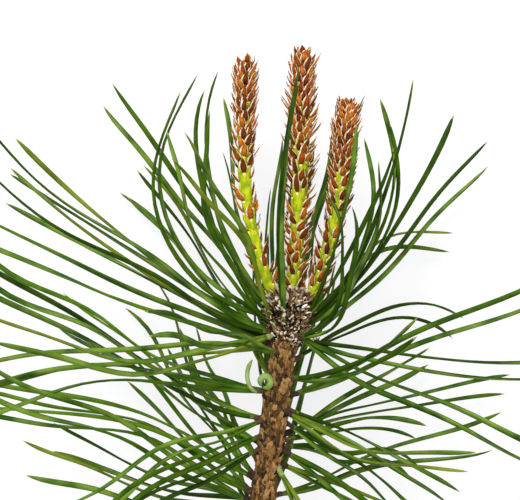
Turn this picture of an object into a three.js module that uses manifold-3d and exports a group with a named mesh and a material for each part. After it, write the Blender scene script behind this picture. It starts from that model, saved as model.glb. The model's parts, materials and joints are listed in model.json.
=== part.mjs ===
// A cut branch tip of mugo pine, laid down on its lower needles, in millimetres.
// X runs across the branch, +Y from the cut to the candles, +Z up from the floor.
import * as THREE from "three";
import { mergeVertices } from "three/addons/utils/BufferGeometryUtils.js";
import Module from "manifold-3d";

const wasm = await Module();
wasm.setup();

// Driving dimensions
const GAP = 0.3;
const STEM_HEIGHT = 26;
const STEM_LEAN = 7.9;
const STEM_RADIUS = 3.1;
const STEM_CORE = 2.1;
const BARE_LENGTH = 12;
const TIERS = [
  { name: "lower", from: 12, to: 27 },
  { name: "middle", from: 27, to: 42 },
  { name: "upper", from: 42, to: 56 },
  { name: "crown", from: 56, to: 69.5 },
];
const SECTORS = [
  { name: "right", around: 0 },
  { name: "top", around: 90 },
  { name: "left", around: 180 },
  { name: "under", around: 270 },
];
const SECTOR_SPAN = 90;
const BARK_SIDES = 2;

const NEEDLE_WIDTH = 1.4;
const NEEDLE_SEGMENTS = 5;
const PATH_STEPS = 20;
const TEST_STRIDE = 2;
const ROOT_RADIUS = 2.8;
const ROOT_WIDTH = 0.6;
const ROOT_MARGIN = { along: 1.5, around: 30 };
const PAIR_SPLAY = 1.2;
const PAIR_OFFSET = 0.75;
const LENGTHS_APART = [0.005, 0.03];
const NEEDLE_CLEARANCE = 1.9;
const SISTER_CLEARANCE = 1.5;
const SISTER_START = 2;
const FLOOR_EASE = 16;
const TURNS_TRIED = [0, 5, -5, 10, -10, 15, -15];

const BUD = {
  from: 69.8, to: 78.4, radius: 3.1, foot: 2.2, top: 2.0, scales: 64,
  scaleLength: 4.4, scaleWidth: 2.0, open: 34, candleRoom: 2.7, needleRoom: 1.8,
};
const CANDLES = [
  {
    name: "candle_left", side: -4.5, length: 58, lean: [-20, 1], lift: [-3, 0],
    radius: [1.3, 1.9], open: 20, reach: [2.3, 3.2],
  },
  {
    name: "candle_middle", side: 0.2, length: 59, lean: [5, 1], lift: [5, 1],
    radius: [1.6, 2.1], open: 26, reach: [2.9, 3.7],
  },
  {
    name: "candle_right", side: 4.6, length: 50, lean: [21, 5], lift: [-2, 0],
    radius: [1.5, 1.9], open: 22, reach: [2.5, 3.3],
  },
];
const CANDLE_STEPS = 8;
const CANDLE_SIDES = 7;
const CANDLE_FOOT = 73.5;
const CANDLE_SHOULDER = 0.88;
const CANDLE_HEAD = 0.96;
const CANDLE_SCALE = { length: 4.2, width: 1.8, every: 1.5, first: 4 };
const GOLDEN_ANGLE = 137.508;

// Needle pairs that the near side shows: mm along the stem, degrees around it from the right,
// rise towards the tip, bend on the way out and how late it comes, sideways wave, mm long, and
// degrees that the two needles part by
const NEAR_PAIRS = [
  [67.4, 168, 14, 94, 1, -10, 72, 4],
  [65.6, 158, 33, 56, 1.3, 0, 57, 22],
  [66.9, 186, 38, 16, 1.2, 7, 69, 2],
  [67.3, 204, 42, 64, 1.7, 0, 65, 3],
  [60, 221, 63, 12, 2, 0, 68, 3],
  [64.4, 176, 3, 33, 0.4, 0, 76, 2],
  [64.2, 166, 1, 34, 0.5, 4, 82, 4],
  [62, 194, 20, 2, 1, 2, 78, 3],
  [65.2, 138, 52, -22, 2, 4, 55, 14],
  [67.4, 106, 48, 60, 1.4, 0, 63, 3],
  [64.2, 44, 2, 134, 0.75, 0, 41, 20],
  [66, 4, 25, 62, 0.45, 4, 66, 12],
  [67, 29, 31, 60, 0.4, 6, 50, 14],
  [67.4, -8, 18, 96, 0.7, 0, 62, 3],
  [66, 14, 28, 80, 0.7, 0, 50, 6],
  [61.6, -34, 27, 27, 0.35, 2, 72, 2],
  [63.8, 291, 76, -33, 1.5, 0, 66, 4],
  [65.4, 254, 52, 72, 1.6, 0, 54, 6],
  [65.5, 268, 74, 12, 1, 0, 46, 14],
  [60.1, 318, 64, -67, 1.4, 0, 57, 4],
  [64.2, 6, -20, 30, 0.35, 0, 74, 1],
  [65, 28, -28, 21, 0.6, 2, 72, 1],
  [58.2, -30, 30, -46, 2.4, 8, 50, 5],
  [61.4, 182, 9, 10, 1, 0, 82, 1],
  [60.8, 170, -8, -10, 1, 2, 74, 1],
  [64, 158, -22, 34, 1, -8, 72, 3],
  [50.4, 184, -10, 42, 0.5, 5, 84, 1],
  [60, 120, 3, 3, 1, 0, 58, 2],
  [54.4, 44, -2, 46, 0.7, 0, 41, 2],
  [43.6, 190, -7, 36, 0.4, 8, 84, 1],
  [50.1, 175, -4, -20, 2, 9, 74, 6],
  [50, -4, 20, 14, 0.4, 4, 78, 1],
  [40, -36, 25, 6, 1, 0, 46, 3],
  [46.8, 10, -16, -12, 2, 0, 45, 3],
  [46.4, 31, -24, 40, 0.9, -3, 50, 3],
  [43.6, 16, -24, -4, 1, 4, 42, 2],
  [41.5, -28, 19, -9, 2, 2, 62, 2],
  [39, -12, 16, -32, 4, 4, 36, 3],
  [37.6, -20, 2, -26, 3, 0, 38, 3],
  [36.8, 14, -16, -22, 0.5, 0, 56, 5],
  [33.6, 0, -18, 26, 0.8, -6, 66, 3],
  [32.6, 38, -44, -26, 1, 0, 56, 10],
  [29.1, 184, 22, -26, 0.8, 4, 74, 2],
  [25.5, 190, 19, -23, 1, 5, 74, 2],
  [23.1, 166, 25, -12, 1, 0, 72, 3],
  [43.5, 150, -26, -8, 1, 6, 58, 8],
  [39.5, 140, -16, -46, 2.5, 0, 52, 4],
  [36.4, 155, -31, 2, 1, 2, 58, 5],
  [23.8, 200, 2, 10, 1, -6, 54, 6],
  [29.4, 214, 28, 24, 0.5, 0, 42, 5],
  [33.2, 223, 38, 10, 1, 0, 38, 6],
  [25.4, 222, 22, 12, 1.5, 0, 48, 5],
];

// Pairs on the far side and near the cut, by a seeded rule
const FILL = {
  count: 76,
  from: 14,
  to: 67,
  rise: [8, 46],
  riseOnTop: [-30, -10],
  riseUnder: [34, 62],
  bend: [-16, 26],
  late: 1,
  wave: [-5, 5],
  length: [56, 72],
  spread: [4, 10],
  hiddenFrom: 212,
  hiddenTo: 328,
  allRoundBelow: 22,
  droop: 40,
  droopSpan: 13,
};
const SEED = 1871;

const COLOURS = { bark: 0x7a5a42, needle: 0x2f5a1c, candle: 0x9aa32a, bud: 0xa8997f };

// Small helpers
const degrees = (value) => THREE.MathUtils.degToRad(value);
const mix = (range, t) => range[0] + (range[1] - range[0]) * t;
const ease = (value) => THREE.MathUtils.smoothstep(value, 0, 1);

function mulberry(seed) {
  let state = seed >>> 0;
  return () => {
    state = (state + 0x6d2b79f5) >>> 0;
    let t = state;
    t = Math.imul(t ^ (t >>> 15), t | 1);
    t ^= t + Math.imul(t ^ (t >>> 7), t | 61);
    return ((t ^ (t >>> 14)) >>> 0) / 4294967296;
  };
}

const TANGENT = new THREE.Vector3(Math.sin(degrees(STEM_LEAN)), Math.cos(degrees(STEM_LEAN)), 0);
const RIGHT = new THREE.Vector3(TANGENT.y, -TANGENT.x, 0);
const UP = new THREE.Vector3(0, 0, 1);

function axisPoint(along) {
  return TANGENT.clone().multiplyScalar(along).add(new THREE.Vector3(0, 0, STEM_HEIGHT));
}

function outward(around) {
  const angle = degrees(around);
  return RIGHT.clone().multiplyScalar(Math.cos(angle)).addScaledVector(UP, Math.sin(angle));
}

// Solids
function toSolid(geometry) {
  const plain = geometry.clone();
  plain.deleteAttribute("normal");
  plain.deleteAttribute("uv");
  const merged = mergeVertices(plain);
  const vertProperties = new Float32Array(merged.attributes.position.array);
  const triVerts = new Uint32Array(merged.index.array);
  return new wasm.Manifold(new wasm.Mesh({ numProp: 3, vertProperties, triVerts }));
}

function toGeometry(solid) {
  const { vertProperties, triVerts } = solid.getMesh();
  const geometry = new THREE.BufferGeometry();
  geometry.setAttribute("position", new THREE.BufferAttribute(new Float32Array(vertProperties), 3));
  geometry.setIndex(new THREE.BufferAttribute(new Uint32Array(triVerts), 1));
  geometry.computeVertexNormals();
  return geometry;
}

function join(solids) {
  return solids.reduce((whole, piece) => whole.add(piece));
}

// Rings of points from foot to tip, closed by a flat foot and one point at the tip
function ringSolid(rings, tip) {
  const sides = rings[0].length;
  const points = [...rings.flat(), tip];
  const faces = [];
  for (let ring = 0; ring + 1 < rings.length; ring += 1) {
    for (let side = 0; side < sides; side += 1) {
      const low = ring * sides + side;
      const lowNext = ring * sides + (side + 1) % sides;
      faces.push(low, lowNext, lowNext + sides, low, lowNext + sides, low + sides);
    }
  }
  const last = (rings.length - 1) * sides;
  for (let side = 0; side < sides; side += 1) {
    faces.push(last + side, last + (side + 1) % sides, points.length - 1);
  }
  for (let side = 1; side + 1 < sides; side += 1) {
    faces.push(0, side + 1, side);
  }
  const geometry = new THREE.BufferGeometry().setFromPoints(points);
  geometry.setIndex(faces);
  return toSolid(geometry);
}

function ringAround(centre, direction, reference, radii, sides) {
  const first = new THREE.Vector3().crossVectors(reference, direction).normalize();
  const second = new THREE.Vector3().crossVectors(direction, first);
  const ring = [];
  for (let side = 0; side < sides; side += 1) {
    const angle = (2 * Math.PI * side) / sides;
    ring.push(centre.clone()
      .addScaledVector(first, radii[0] * Math.cos(angle))
      .addScaledVector(second, radii[1] * Math.sin(angle)));
  }
  return ring;
}

// Needles
function tierOf(along) {
  return TIERS.find((tier) => along >= tier.from && along < tier.to);
}

function sectorOf(around) {
  const turned = THREE.MathUtils.euclideanModulo(around, 360) / SECTOR_SPAN;
  return SECTORS[Math.floor(turned + 0.5) % SECTORS.length];
}

function rootOf(pair) {
  const tier = tierOf(pair.along);
  const sector = sectorOf(pair.around);
  const along = THREE.MathUtils.clamp(pair.along, tier.from + ROOT_MARGIN.along, tier.to - ROOT_MARGIN.along);
  const turn = THREE.MathUtils.euclideanModulo(pair.around - sector.around + 180, 360) - 180;
  const around = sector.around + THREE.MathUtils.clamp(turn, -ROOT_MARGIN.around, ROOT_MARGIN.around);
  return axisPoint(along).addScaledVector(outward(around), ROOT_RADIUS);
}

function needlePath(pair, side) {
  const start = pair.rise + side * PAIR_SPLAY;
  const bend = pair.bend + (side * pair.spread) / 2;
  const step = (pair.length * (1 + side * pair.uneven)) / PATH_STEPS;
  const launch = degrees(start);
  const beside = outward(pair.around + 90).multiplyScalar(Math.sin(launch)).addScaledVector(TANGENT, Math.cos(launch));
  const point = rootOf(pair).addScaledVector(beside, side * PAIR_OFFSET);
  const path = [point.clone()];
  for (let index = 0; index < PATH_STEPS; index += 1) {
    const u = (index + 0.5) / PATH_STEPS;
    const wave = pair.wave * Math.sin(2 * Math.PI * u);
    const angle = degrees(start + bend * u ** pair.late + wave);
    const direction = outward(pair.around + side * PAIR_SPLAY * u)
      .multiplyScalar(Math.cos(angle))
      .addScaledVector(TANGENT, Math.sin(angle));
    if (direction.z < 0) {
      direction.z *= ease((point.z - NEEDLE_WIDTH / 2) / FLOOR_EASE);
      direction.normalize();
    }
    point.addScaledVector(direction, step);
    path.push(point.clone());
  }
  return path;
}

function segmentDistance(p, q, r, s) {
  const d1 = q.clone().sub(p);
  const d2 = s.clone().sub(r);
  const between = p.clone().sub(r);
  const a = d1.dot(d1);
  const e = d2.dot(d2);
  const b = d1.dot(d2);
  const c = d1.dot(between);
  const f = d2.dot(between);
  const spread = a * e - b * b;
  let t = spread > 1e-9 ? THREE.MathUtils.clamp((b * f - c * e) / spread, 0, 1) : 0;
  let u = (b * t + f) / e;
  if (u < 0 || u > 1) {
    u = THREE.MathUtils.clamp(u, 0, 1);
    t = THREE.MathUtils.clamp((b * u - c) / a, 0, 1);
  }
  return p.clone().addScaledVector(d1, t).distanceTo(r.clone().addScaledVector(d2, u));
}

function thinned(path) {
  return path.filter((point, index) => index % TEST_STRIDE === 0);
}

function pathsClear(first, second, clearanceAt) {
  for (let i = 0; i + 1 < first.length; i += 1) {
    for (let j = 0; j + 1 < second.length; j += 1) {
      if (segmentDistance(first[i], first[i + 1], second[j], second[j + 1]) < clearanceAt(j / second.length)) {
        return false;
      }
    }
  }
  return true;
}

function nodeOf(pair) {
  return `needles_${tierOf(pair.along).name}_${sectorOf(pair.around).name}`;
}

function candlePath(candle) {
  const foot = axisPoint(CANDLE_FOOT).addScaledVector(RIGHT, candle.side);
  const path = [foot.clone()];
  const point = foot.clone();
  for (let index = 0; index < CANDLE_STEPS; index += 1) {
    const u = (index + 0.5) / CANDLE_STEPS;
    const lean = degrees(mix(candle.lean, ease(u * 1.4)));
    const lift = degrees(mix(candle.lift, u));
    const direction = new THREE.Vector3(Math.sin(lean), Math.cos(lean), Math.sin(lift)).normalize();
    point.addScaledVector(direction, candle.length / CANDLE_STEPS);
    path.push(point.clone());
  }
  return path;
}

// How far a needle's middle line keeps from the candle's, from its foot to its head
function candleRoom(candle) {
  return (u) => mix(candle.reach, ease(u * 1.6)) + NEEDLE_WIDTH / 2 + GAP;
}

function budPath() {
  return [0, 0.35, 1].map((u) => axisPoint(mix([BUD.from, BUD.to], u)));
}

function budRoom(u) {
  return (u === 0 ? BUD.foot : BUD.radius) + NEEDLE_WIDTH / 2 + GAP;
}

function plannedPairs() {
  const draw = mulberry(SEED);
  const shown = NEAR_PAIRS.map(([along, around, rise, bend, late, wave, length, spread]) =>
    ({ along, around, rise, bend, late, wave, length, spread, uneven: mix(LENGTHS_APART, draw()) }));
  const hidden = [];
  for (let index = 0; index < FILL.count; index += 1) {
    const along = mix([FILL.from, FILL.to], index / (FILL.count - 1));
    const around = (index * GOLDEN_ANGLE) % 360;
    const sector = sectorOf(around).name;
    const rises = { top: FILL.riseOnTop, under: FILL.riseUnder }[sector] ?? FILL.rise;
    const nearCut = Math.max(0, 1 - (along - FILL.from) / FILL.droopSpan);
    const droop = sector === "left" || sector === "right" ? FILL.droop * nearCut : 0;
    const pair = {
      along,
      around,
      rise: mix(rises, draw()) - droop,
      bend: mix(FILL.bend, draw()),
      late: FILL.late,
      wave: mix(FILL.wave, draw()),
      length: mix(FILL.length, draw()),
      spread: mix(FILL.spread, draw()),
      uneven: mix(LENGTHS_APART, draw()),
    };
    const isHidden = around > FILL.hiddenFrom && around < FILL.hiddenTo;
    if (isHidden || along < FILL.allRoundBelow) {
      hidden.push(pair);
    }
  }
  return [...shown, ...hidden];
}

// A pair that would touch a candle or another mass is turned a little, and else left out
function grownPairs() {
  const obstacles = CANDLES.map((candle) => ({ path: candlePath(candle), room: candleRoom(candle) }));
  obstacles.push({ path: budPath(), room: budRoom });
  const grown = [];
  for (const planned of plannedPairs()) {
    for (const turn of TURNS_TRIED) {
      const pair = { ...planned, around: planned.around + turn };
      const paths = [needlePath(pair, -1), needlePath(pair, 1)];
      const tested = paths.map(thinned);
      const node = nodeOf(planned);
      const clearOfHead = tested.every((path) =>
        obstacles.every((obstacle) => pathsClear(path, obstacle.path, obstacle.room)));
      const clearOfNeedles = tested.every((path) => grown.every((other) => {
        const isSister = other.node === node;
        const start = isSister ? SISTER_START : 0;
        const clearance = isSister ? SISTER_CLEARANCE : NEEDLE_CLEARANCE;
        return other.tested.every((theirs) => pathsClear(path.slice(start), theirs.slice(start), () => clearance));
      }));
      if (nodeOf(pair) === node && clearOfHead && clearOfNeedles) {
        grown.push({ pair, node, paths, tested });
        break;
      }
    }
  }
  return grown;
}

function needleSolid(path, around) {
  const reference = new THREE.Vector3().crossVectors(TANGENT, outward(around));
  const stride = PATH_STEPS / NEEDLE_SEGMENTS;
  const rings = [];
  for (let index = 0; index < PATH_STEPS; index += stride) {
    const direction = path[index + 1].clone().sub(path[Math.max(index - 1, 0)]).normalize();
    const radius = (index === 0 ? ROOT_WIDTH : NEEDLE_WIDTH) / 2;
    rings.push(ringAround(path[index], direction, reference, [radius, radius], 3));
  }
  return ringSolid(rings, path[PATH_STEPS]);
}

function alongStem(geometry, along) {
  geometry.rotateX(-Math.PI / 2);
  geometry.rotateZ(-degrees(STEM_LEAN));
  const place = axisPoint(along);
  return geometry.translate(place.x, place.y, place.z);
}

// A strip of bark on one side of one tier, which the pairs of that mass stand on
function barkStrip(tier, sector) {
  const inner = STEM_CORE + GAP;
  const outer = STEM_RADIUS;
  const half = degrees(SECTOR_SPAN / 2) - GAP / 2 / inner;
  const middle = -degrees(sector.around);
  const outline = new THREE.Shape();
  outline.absarc(0, 0, outer, middle - half, middle + half, false);
  outline.absarc(0, 0, inner, middle + half, middle - half, true);
  outline.closePath();
  const depth = tier.to - tier.from - GAP;
  const strip = new THREE.ExtrudeGeometry(outline, { depth, bevelEnabled: false, curveSegments: BARK_SIDES });
  return toSolid(alongStem(strip, tier.from + GAP / 2));
}

function needleMasses(grown) {
  const masses = [];
  for (const tier of TIERS) {
    for (const sector of SECTORS) {
      const name = `needles_${tier.name}_${sector.name}`;
      const pieces = [barkStrip(tier, sector)];
      for (const { pair, paths } of grown.filter((entry) => entry.node === name)) {
        pieces.push(...paths.map((path) => needleSolid(path, pair.around)));
      }
      masses.push({ name, solid: join(pieces) });
    }
  }
  return masses;
}

// Stem, bud and candles
function lathe(profile, sides) {
  const points = profile.map(([radius, along]) => new THREE.Vector2(radius, along));
  return new THREE.LatheGeometry(points, sides);
}

function stemSolid() {
  const flare = STEM_RADIUS + 0.15;
  const shoulder = BARE_LENGTH - GAP / 2;
  const top = BUD.from - GAP;
  const profile = [
    [0, -2],
    [flare, -2],
    [STEM_RADIUS, shoulder],
    [STEM_CORE, shoulder],
    [STEM_CORE - 0.2, top - 1],
    [STEM_CORE - 1, top],
    [0, top],
  ];
  const whole = lathe(profile, 20);
  whole.rotateZ(-degrees(STEM_LEAN));
  whole.translate(0, 0, STEM_HEIGHT);
  const cutOff = new THREE.BoxGeometry(20, 20, 20).translate(0, -10, STEM_HEIGHT);
  return toSolid(whole).subtract(toSolid(cutOff));
}

function budCore(extra) {
  const height = BUD.to - BUD.from;
  const profile = [
    [0, -extra],
    [BUD.foot + extra, -extra],
    [BUD.radius + extra, height * 0.35],
    [BUD.radius + extra, height * 0.6],
    [BUD.top + extra, height + extra],
    [0, height + extra],
  ];
  const geometry = lathe(profile, 14);
  geometry.rotateZ(-degrees(STEM_LEAN));
  const place = axisPoint(BUD.from);
  return toSolid(geometry.translate(place.x, place.y, place.z));
}

// A papery scale: a flat four-sided blade whose foot is sunk in what carries it
function scaleSolid(foot, direction, normal, length, width) {
  const tip = foot.clone().addScaledVector(direction, length);
  return ringSolid([ringAround(foot, direction, normal, [width * 0.5, 0.35], 4)], tip);
}

function budSolid(candles, needles) {
  const pieces = [budCore(0)];
  for (let index = 0; index < BUD.scales; index += 1) {
    const t = index / (BUD.scales - 1);
    const around = outward(index * GOLDEN_ANGLE);
    const height = BUD.from + 0.8 + (BUD.to - BUD.from - 3) * t;
    const radius = BUD.foot * 0.85;
    const foot = axisPoint(height).addScaledVector(around, radius);
    const open = degrees(BUD.open * (1.5 - t));
    const direction = TANGENT.clone().multiplyScalar(Math.cos(open)).addScaledVector(around, Math.sin(open));
    const tip = foot.clone().addScaledVector(direction, BUD.scaleLength);
    const clearOfCandles = candles.every((path) => pathsClear([foot, tip], path, () => BUD.candleRoom));
    const clearOfNeedles = needles.every((path) => pathsClear([foot, tip], path, () => BUD.needleRoom));
    if (clearOfCandles && clearOfNeedles) {
      pieces.push(scaleSolid(foot, direction, around, BUD.scaleLength, BUD.scaleWidth));
    }
  }
  return join(pieces);
}

function candleRadius(candle, u) {
  const grown = mix(candle.radius, ease((u - 0.3) * 1.6));
  return grown * (u < CANDLE_SHOULDER ? 1 : mix([1, 0.7], (u - CANDLE_SHOULDER) / (CANDLE_HEAD - CANDLE_SHOULDER)));
}

function candleSolid(candle, path) {
  const curve = new THREE.CatmullRomCurve3(path);
  const rings = [];
  for (let index = 0; index <= CANDLE_STEPS; index += 1) {
    const u = (index / CANDLE_STEPS) * CANDLE_HEAD;
    const radius = candleRadius(candle, u);
    rings.push(ringAround(curve.getPointAt(u), curve.getTangentAt(u), UP, [radius, radius], CANDLE_SIDES));
  }
  const pieces = [ringSolid(rings, curve.getPointAt(1))];
  const scales = Math.floor(candle.length / CANDLE_SCALE.every);
  for (let index = CANDLE_SCALE.first; index < scales; index += 1) {
    const u = (index / scales) * CANDLE_HEAD;
    const forward = curve.getTangentAt(u);
    const turn = degrees(index * GOLDEN_ANGLE);
    const side = new THREE.Vector3().crossVectors(UP, forward).normalize();
    const normal = side.multiplyScalar(Math.cos(turn)).addScaledVector(UP, Math.sin(turn)).normalize();
    const open = degrees(candle.open * mix([1, 0.35], ease((u - 0.8) * 5)));
    const direction = forward.clone().multiplyScalar(Math.cos(open)).addScaledVector(normal, Math.sin(open));
    const foot = curve.getPointAt(u).addScaledVector(normal, candleRadius(candle, u) * 0.68);
    pieces.push(scaleSolid(foot, direction, normal, CANDLE_SCALE.length, CANDLE_SCALE.width));
  }
  return join(pieces).subtract(budCore(GAP));
}

// The whole branch
function named(name, solid, colour, roughness) {
  const material = new THREE.MeshStandardMaterial({ color: colour, roughness, metalness: 0 });
  const mesh = new THREE.Mesh(toGeometry(solid), material);
  mesh.name = name;
  return mesh;
}

function settle(group) {
  group.updateMatrixWorld(true);
  const box = new THREE.Box3().setFromObject(group, true);
  const middle = box.getCenter(new THREE.Vector3());
  group.position.set(-middle.x, -middle.y, -box.min.z);
  group.updateMatrixWorld(true);
}

const branch = new THREE.Group();
branch.add(named("woody_stem", stemSolid(), COLOURS.bark, 0.9));
const grown = grownPairs();
for (const { name, solid } of needleMasses(grown)) {
  branch.add(named(name, solid, COLOURS.needle, 0.5));
}
const candlePaths = CANDLES.map(candlePath);
const needlePaths = grown.flatMap((entry) => entry.tested);
branch.add(named("bud_scales", budSolid(candlePaths, needlePaths), COLOURS.bud, 0.85));
CANDLES.forEach((candle, index) => {
  branch.add(named(candle.name, candleSolid(candle, candlePaths[index]), COLOURS.candle, 0.7));
});
settle(branch);

export default branch;
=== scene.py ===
"""Cut branch tip of mugo pine with three candles, lying on a pale floor.

The rule that grows the needles works in millimetres, with the stem's cut at the
origin and the stem level above the floor. in_frame() carries its points to the
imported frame, in metres.
"""

import json
import logging
import math
from collections.abc import Sequence
from dataclasses import dataclass, field, replace
from enum import Enum

import bpy
import numpy as np
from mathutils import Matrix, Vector, noise


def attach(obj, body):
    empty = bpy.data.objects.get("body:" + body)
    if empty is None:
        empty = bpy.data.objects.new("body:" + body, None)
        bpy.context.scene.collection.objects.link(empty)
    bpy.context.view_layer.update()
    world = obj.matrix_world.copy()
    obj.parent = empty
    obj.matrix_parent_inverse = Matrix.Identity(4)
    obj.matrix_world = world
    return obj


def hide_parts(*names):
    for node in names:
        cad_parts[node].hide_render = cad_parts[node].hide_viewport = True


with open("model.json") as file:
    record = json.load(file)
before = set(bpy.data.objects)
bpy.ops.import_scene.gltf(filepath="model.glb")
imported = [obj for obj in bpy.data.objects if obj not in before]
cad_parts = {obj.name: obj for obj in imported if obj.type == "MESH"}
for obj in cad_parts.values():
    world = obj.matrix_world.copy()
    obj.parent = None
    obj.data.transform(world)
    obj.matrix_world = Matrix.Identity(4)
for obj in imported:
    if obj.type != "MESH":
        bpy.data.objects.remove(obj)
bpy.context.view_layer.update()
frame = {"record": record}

LOG = logging.getLogger("branch_tip")
BODY = "root"
MM = 0.001

Object = bpy.types.Object
Material = bpy.types.Material
Socket = bpy.types.NodeSocket

# A colour with its alpha, a place, size or set of three numbers, the two ends of a range, and
# stretches with the room that each needs
Colour = tuple[float, float, float, float]
Triple = tuple[float, float, float]
Span = tuple[float, float]
Obstacle = tuple[np.ndarray, np.ndarray]

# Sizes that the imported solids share, in millimetres and degrees
GAP = 0.3
STEM_HEIGHT = 26.0
STEM_LEAN = 7.9
STEM_RADIUS = 3.1
BUD_FROM = 69.8
BUD_TO = 78.4
TIERS = {"lower": (12.0, 27.0), "middle": (27.0, 42.0), "upper": (42.0, 56.0), "crown": (56.0, 69.5)}
SECTORS = {"right": 0.0, "top": 90.0, "left": 180.0, "under": 270.0}
SECTOR_SPAN = 90.0
GOLDEN_ANGLE = 137.508
PATH_STEPS = 20
NEEDLE_WIDTH = 1.4
SEED = 1871

# Needle pairs that the near side shows: mm along the stem, degrees around it from the right,
# rise towards the tip, bend on the way out and how late it comes, sideways wave, mm long, and
# degrees that the two needles part by
NEAR_PAIRS = (
    (67.4, 168, 14, 94, 1, -10, 72, 4),
    (65.6, 158, 33, 56, 1.3, 0, 57, 22),
    (66.9, 186, 38, 16, 1.2, 7, 69, 2),
    (67.3, 204, 42, 64, 1.7, 0, 65, 3),
    (60, 221, 63, 12, 2, 0, 68, 3),
    (64.4, 176, 3, 33, 0.4, 0, 76, 2),
    (64.2, 166, 1, 34, 0.5, 4, 82, 4),
    (62, 194, 20, 2, 1, 2, 78, 3),
    (65.2, 138, 52, -22, 2, 4, 55, 14),
    (67.4, 106, 48, 60, 1.4, 0, 63, 3),
    (64.2, 44, 2, 134, 0.75, 0, 41, 20),
    (66, 4, 25, 62, 0.45, 4, 66, 12),
    (67, 29, 31, 60, 0.4, 6, 50, 14),
    (67.4, -8, 18, 96, 0.7, 0, 62, 3),
    (66, 14, 28, 80, 0.7, 0, 50, 6),
    (61.6, -34, 27, 27, 0.35, 2, 72, 2),
    (63.8, 291, 76, -33, 1.5, 0, 66, 4),
    (65.4, 254, 52, 72, 1.6, 0, 54, 6),
    (65.5, 268, 74, 12, 1, 0, 46, 14),
    (60.1, 318, 64, -67, 1.4, 0, 57, 4),
    (64.2, 6, -20, 30, 0.35, 0, 74, 1),
    (65, 28, -28, 21, 0.6, 2, 72, 1),
    (58.2, -30, 30, -46, 2.4, 8, 50, 5),
    (61.4, 182, 9, 10, 1, 0, 82, 1),
    (60.8, 170, -8, -10, 1, 2, 74, 1),
    (64, 158, -22, 34, 1, -8, 72, 3),
    (50.4, 184, -10, 42, 0.5, 5, 84, 1),
    (60, 120, 3, 3, 1, 0, 58, 2),
    (54.4, 44, -2, 46, 0.7, 0, 41, 2),
    (43.6, 190, -7, 36, 0.4, 8, 84, 1),
    (50.1, 175, -4, -20, 2, 9, 74, 6),
    (50, -4, 20, 14, 0.4, 4, 78, 1),
    (40, -36, 25, 6, 1, 0, 46, 3),
    (46.8, 10, -16, -12, 2, 0, 45, 3),
    (46.4, 31, -24, 40, 0.9, -3, 50, 3),
    (43.6, 16, -24, -4, 1, 4, 42, 2),
    (41.5, -28, 19, -9, 2, 2, 62, 2),
    (39, -12, 16, -32, 4, 4, 36, 3),
    (37.6, -20, 2, -26, 3, 0, 38, 3),
    (36.8, 14, -16, -22, 0.5, 0, 56, 5),
    (33.6, 0, -18, 26, 0.8, -6, 66, 3),
    (32.6, 38, -44, -26, 1, 0, 56, 10),
    (29.1, 184, 22, -26, 0.8, 4, 74, 2),
    (25.5, 190, 19, -23, 1, 5, 74, 2),
    (23.1, 166, 25, -12, 1, 0, 72, 3),
    (43.5, 150, -26, -8, 1, 6, 58, 8),
    (39.5, 140, -16, -46, 2.5, 0, 52, 4),
    (36.4, 155, -31, 2, 1, 2, 58, 5),
    (23.8, 200, 2, 10, 1, -6, 54, 6),
    (29.4, 214, 28, 24, 0.5, 0, 42, 5),
    (33.2, 223, 38, 10, 1, 0, 38, 6),
    (25.4, 222, 22, 12, 1.5, 0, 48, 5),
)


def mix(ends: Sequence[float], share: float) -> float:
    """Gives the number that lies a share of the way between two ends.

    Args:
        ends: The first and the last number.
        share: 0 at the first, 1 at the last.

    Returns:
        The number between them.
    """
    return ends[0] + (ends[1] - ends[0]) * share


def ease(value: float) -> float:
    """Smooths a share so that it starts and ends gently.

    Args:
        value: The share, which is cut to the range from 0 to 1.

    Returns:
        The smoothed share.
    """
    share = min(max(value, 0.0), 1.0)
    return share * share * (3.0 - 2.0 * share)


def unit(vector: np.ndarray) -> np.ndarray:
    """Gives a vector its direction with length 1."""
    return vector / np.linalg.norm(vector)


def tint(red: int, green: int, blue: int) -> Colour:
    """Turns a screen colour into the linear colour that a shader takes.

    Args:
        red: 0 to 255.
        green: 0 to 255.
        blue: 0 to 255.

    Returns:
        Red, green, blue and a full alpha, linear.
    """
    linear = []
    for level in (red / 255.0, green / 255.0, blue / 255.0):
        linear.append(level / 12.92 if level <= 0.04045 else ((level + 0.055) / 1.055) ** 2.4)
    return (linear[0], linear[1], linear[2], 1.0)


LEAN = math.radians(STEM_LEAN)
TANGENT = np.array([math.sin(LEAN), math.cos(LEAN), 0.0])
RIGHT = np.array([TANGENT[1], -TANGENT[0], 0.0])
UP = np.array([0.0, 0.0, 1.0])
CUT_PLACE = np.array(frame["record"]["mounts"][0]["pos_m"]) / MM
SHIFT = CUT_PLACE - UP * STEM_HEIGHT


def in_frame(points: np.ndarray) -> np.ndarray:
    """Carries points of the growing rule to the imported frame.

    Args:
        points: Rows of millimetres.

    Returns:
        The same points in metres.
    """
    return (np.asarray(points, float) + SHIFT) * MM


def axis_point(along: float) -> np.ndarray:
    """Gives the point on the stem's middle line that many mm from the cut."""
    return TANGENT * along + UP * STEM_HEIGHT


def outward(around: float) -> np.ndarray:
    """Gives the direction out of the stem at an angle in degrees from its right."""
    angle = math.radians(around)
    return RIGHT * math.cos(angle) + UP * math.sin(angle)


def turned(vector: np.ndarray, axis: np.ndarray, angle: float) -> np.ndarray:
    """Turns a vector about an axis of length 1.

    Args:
        vector: What is turned.
        axis: The axis.
        angle: Radians.

    Returns:
        The turned vector.
    """
    across = np.cross(axis, vector)
    along = axis * np.dot(axis, vector)
    return vector * math.cos(angle) + across * math.sin(angle) + along * (1.0 - math.cos(angle))


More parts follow.
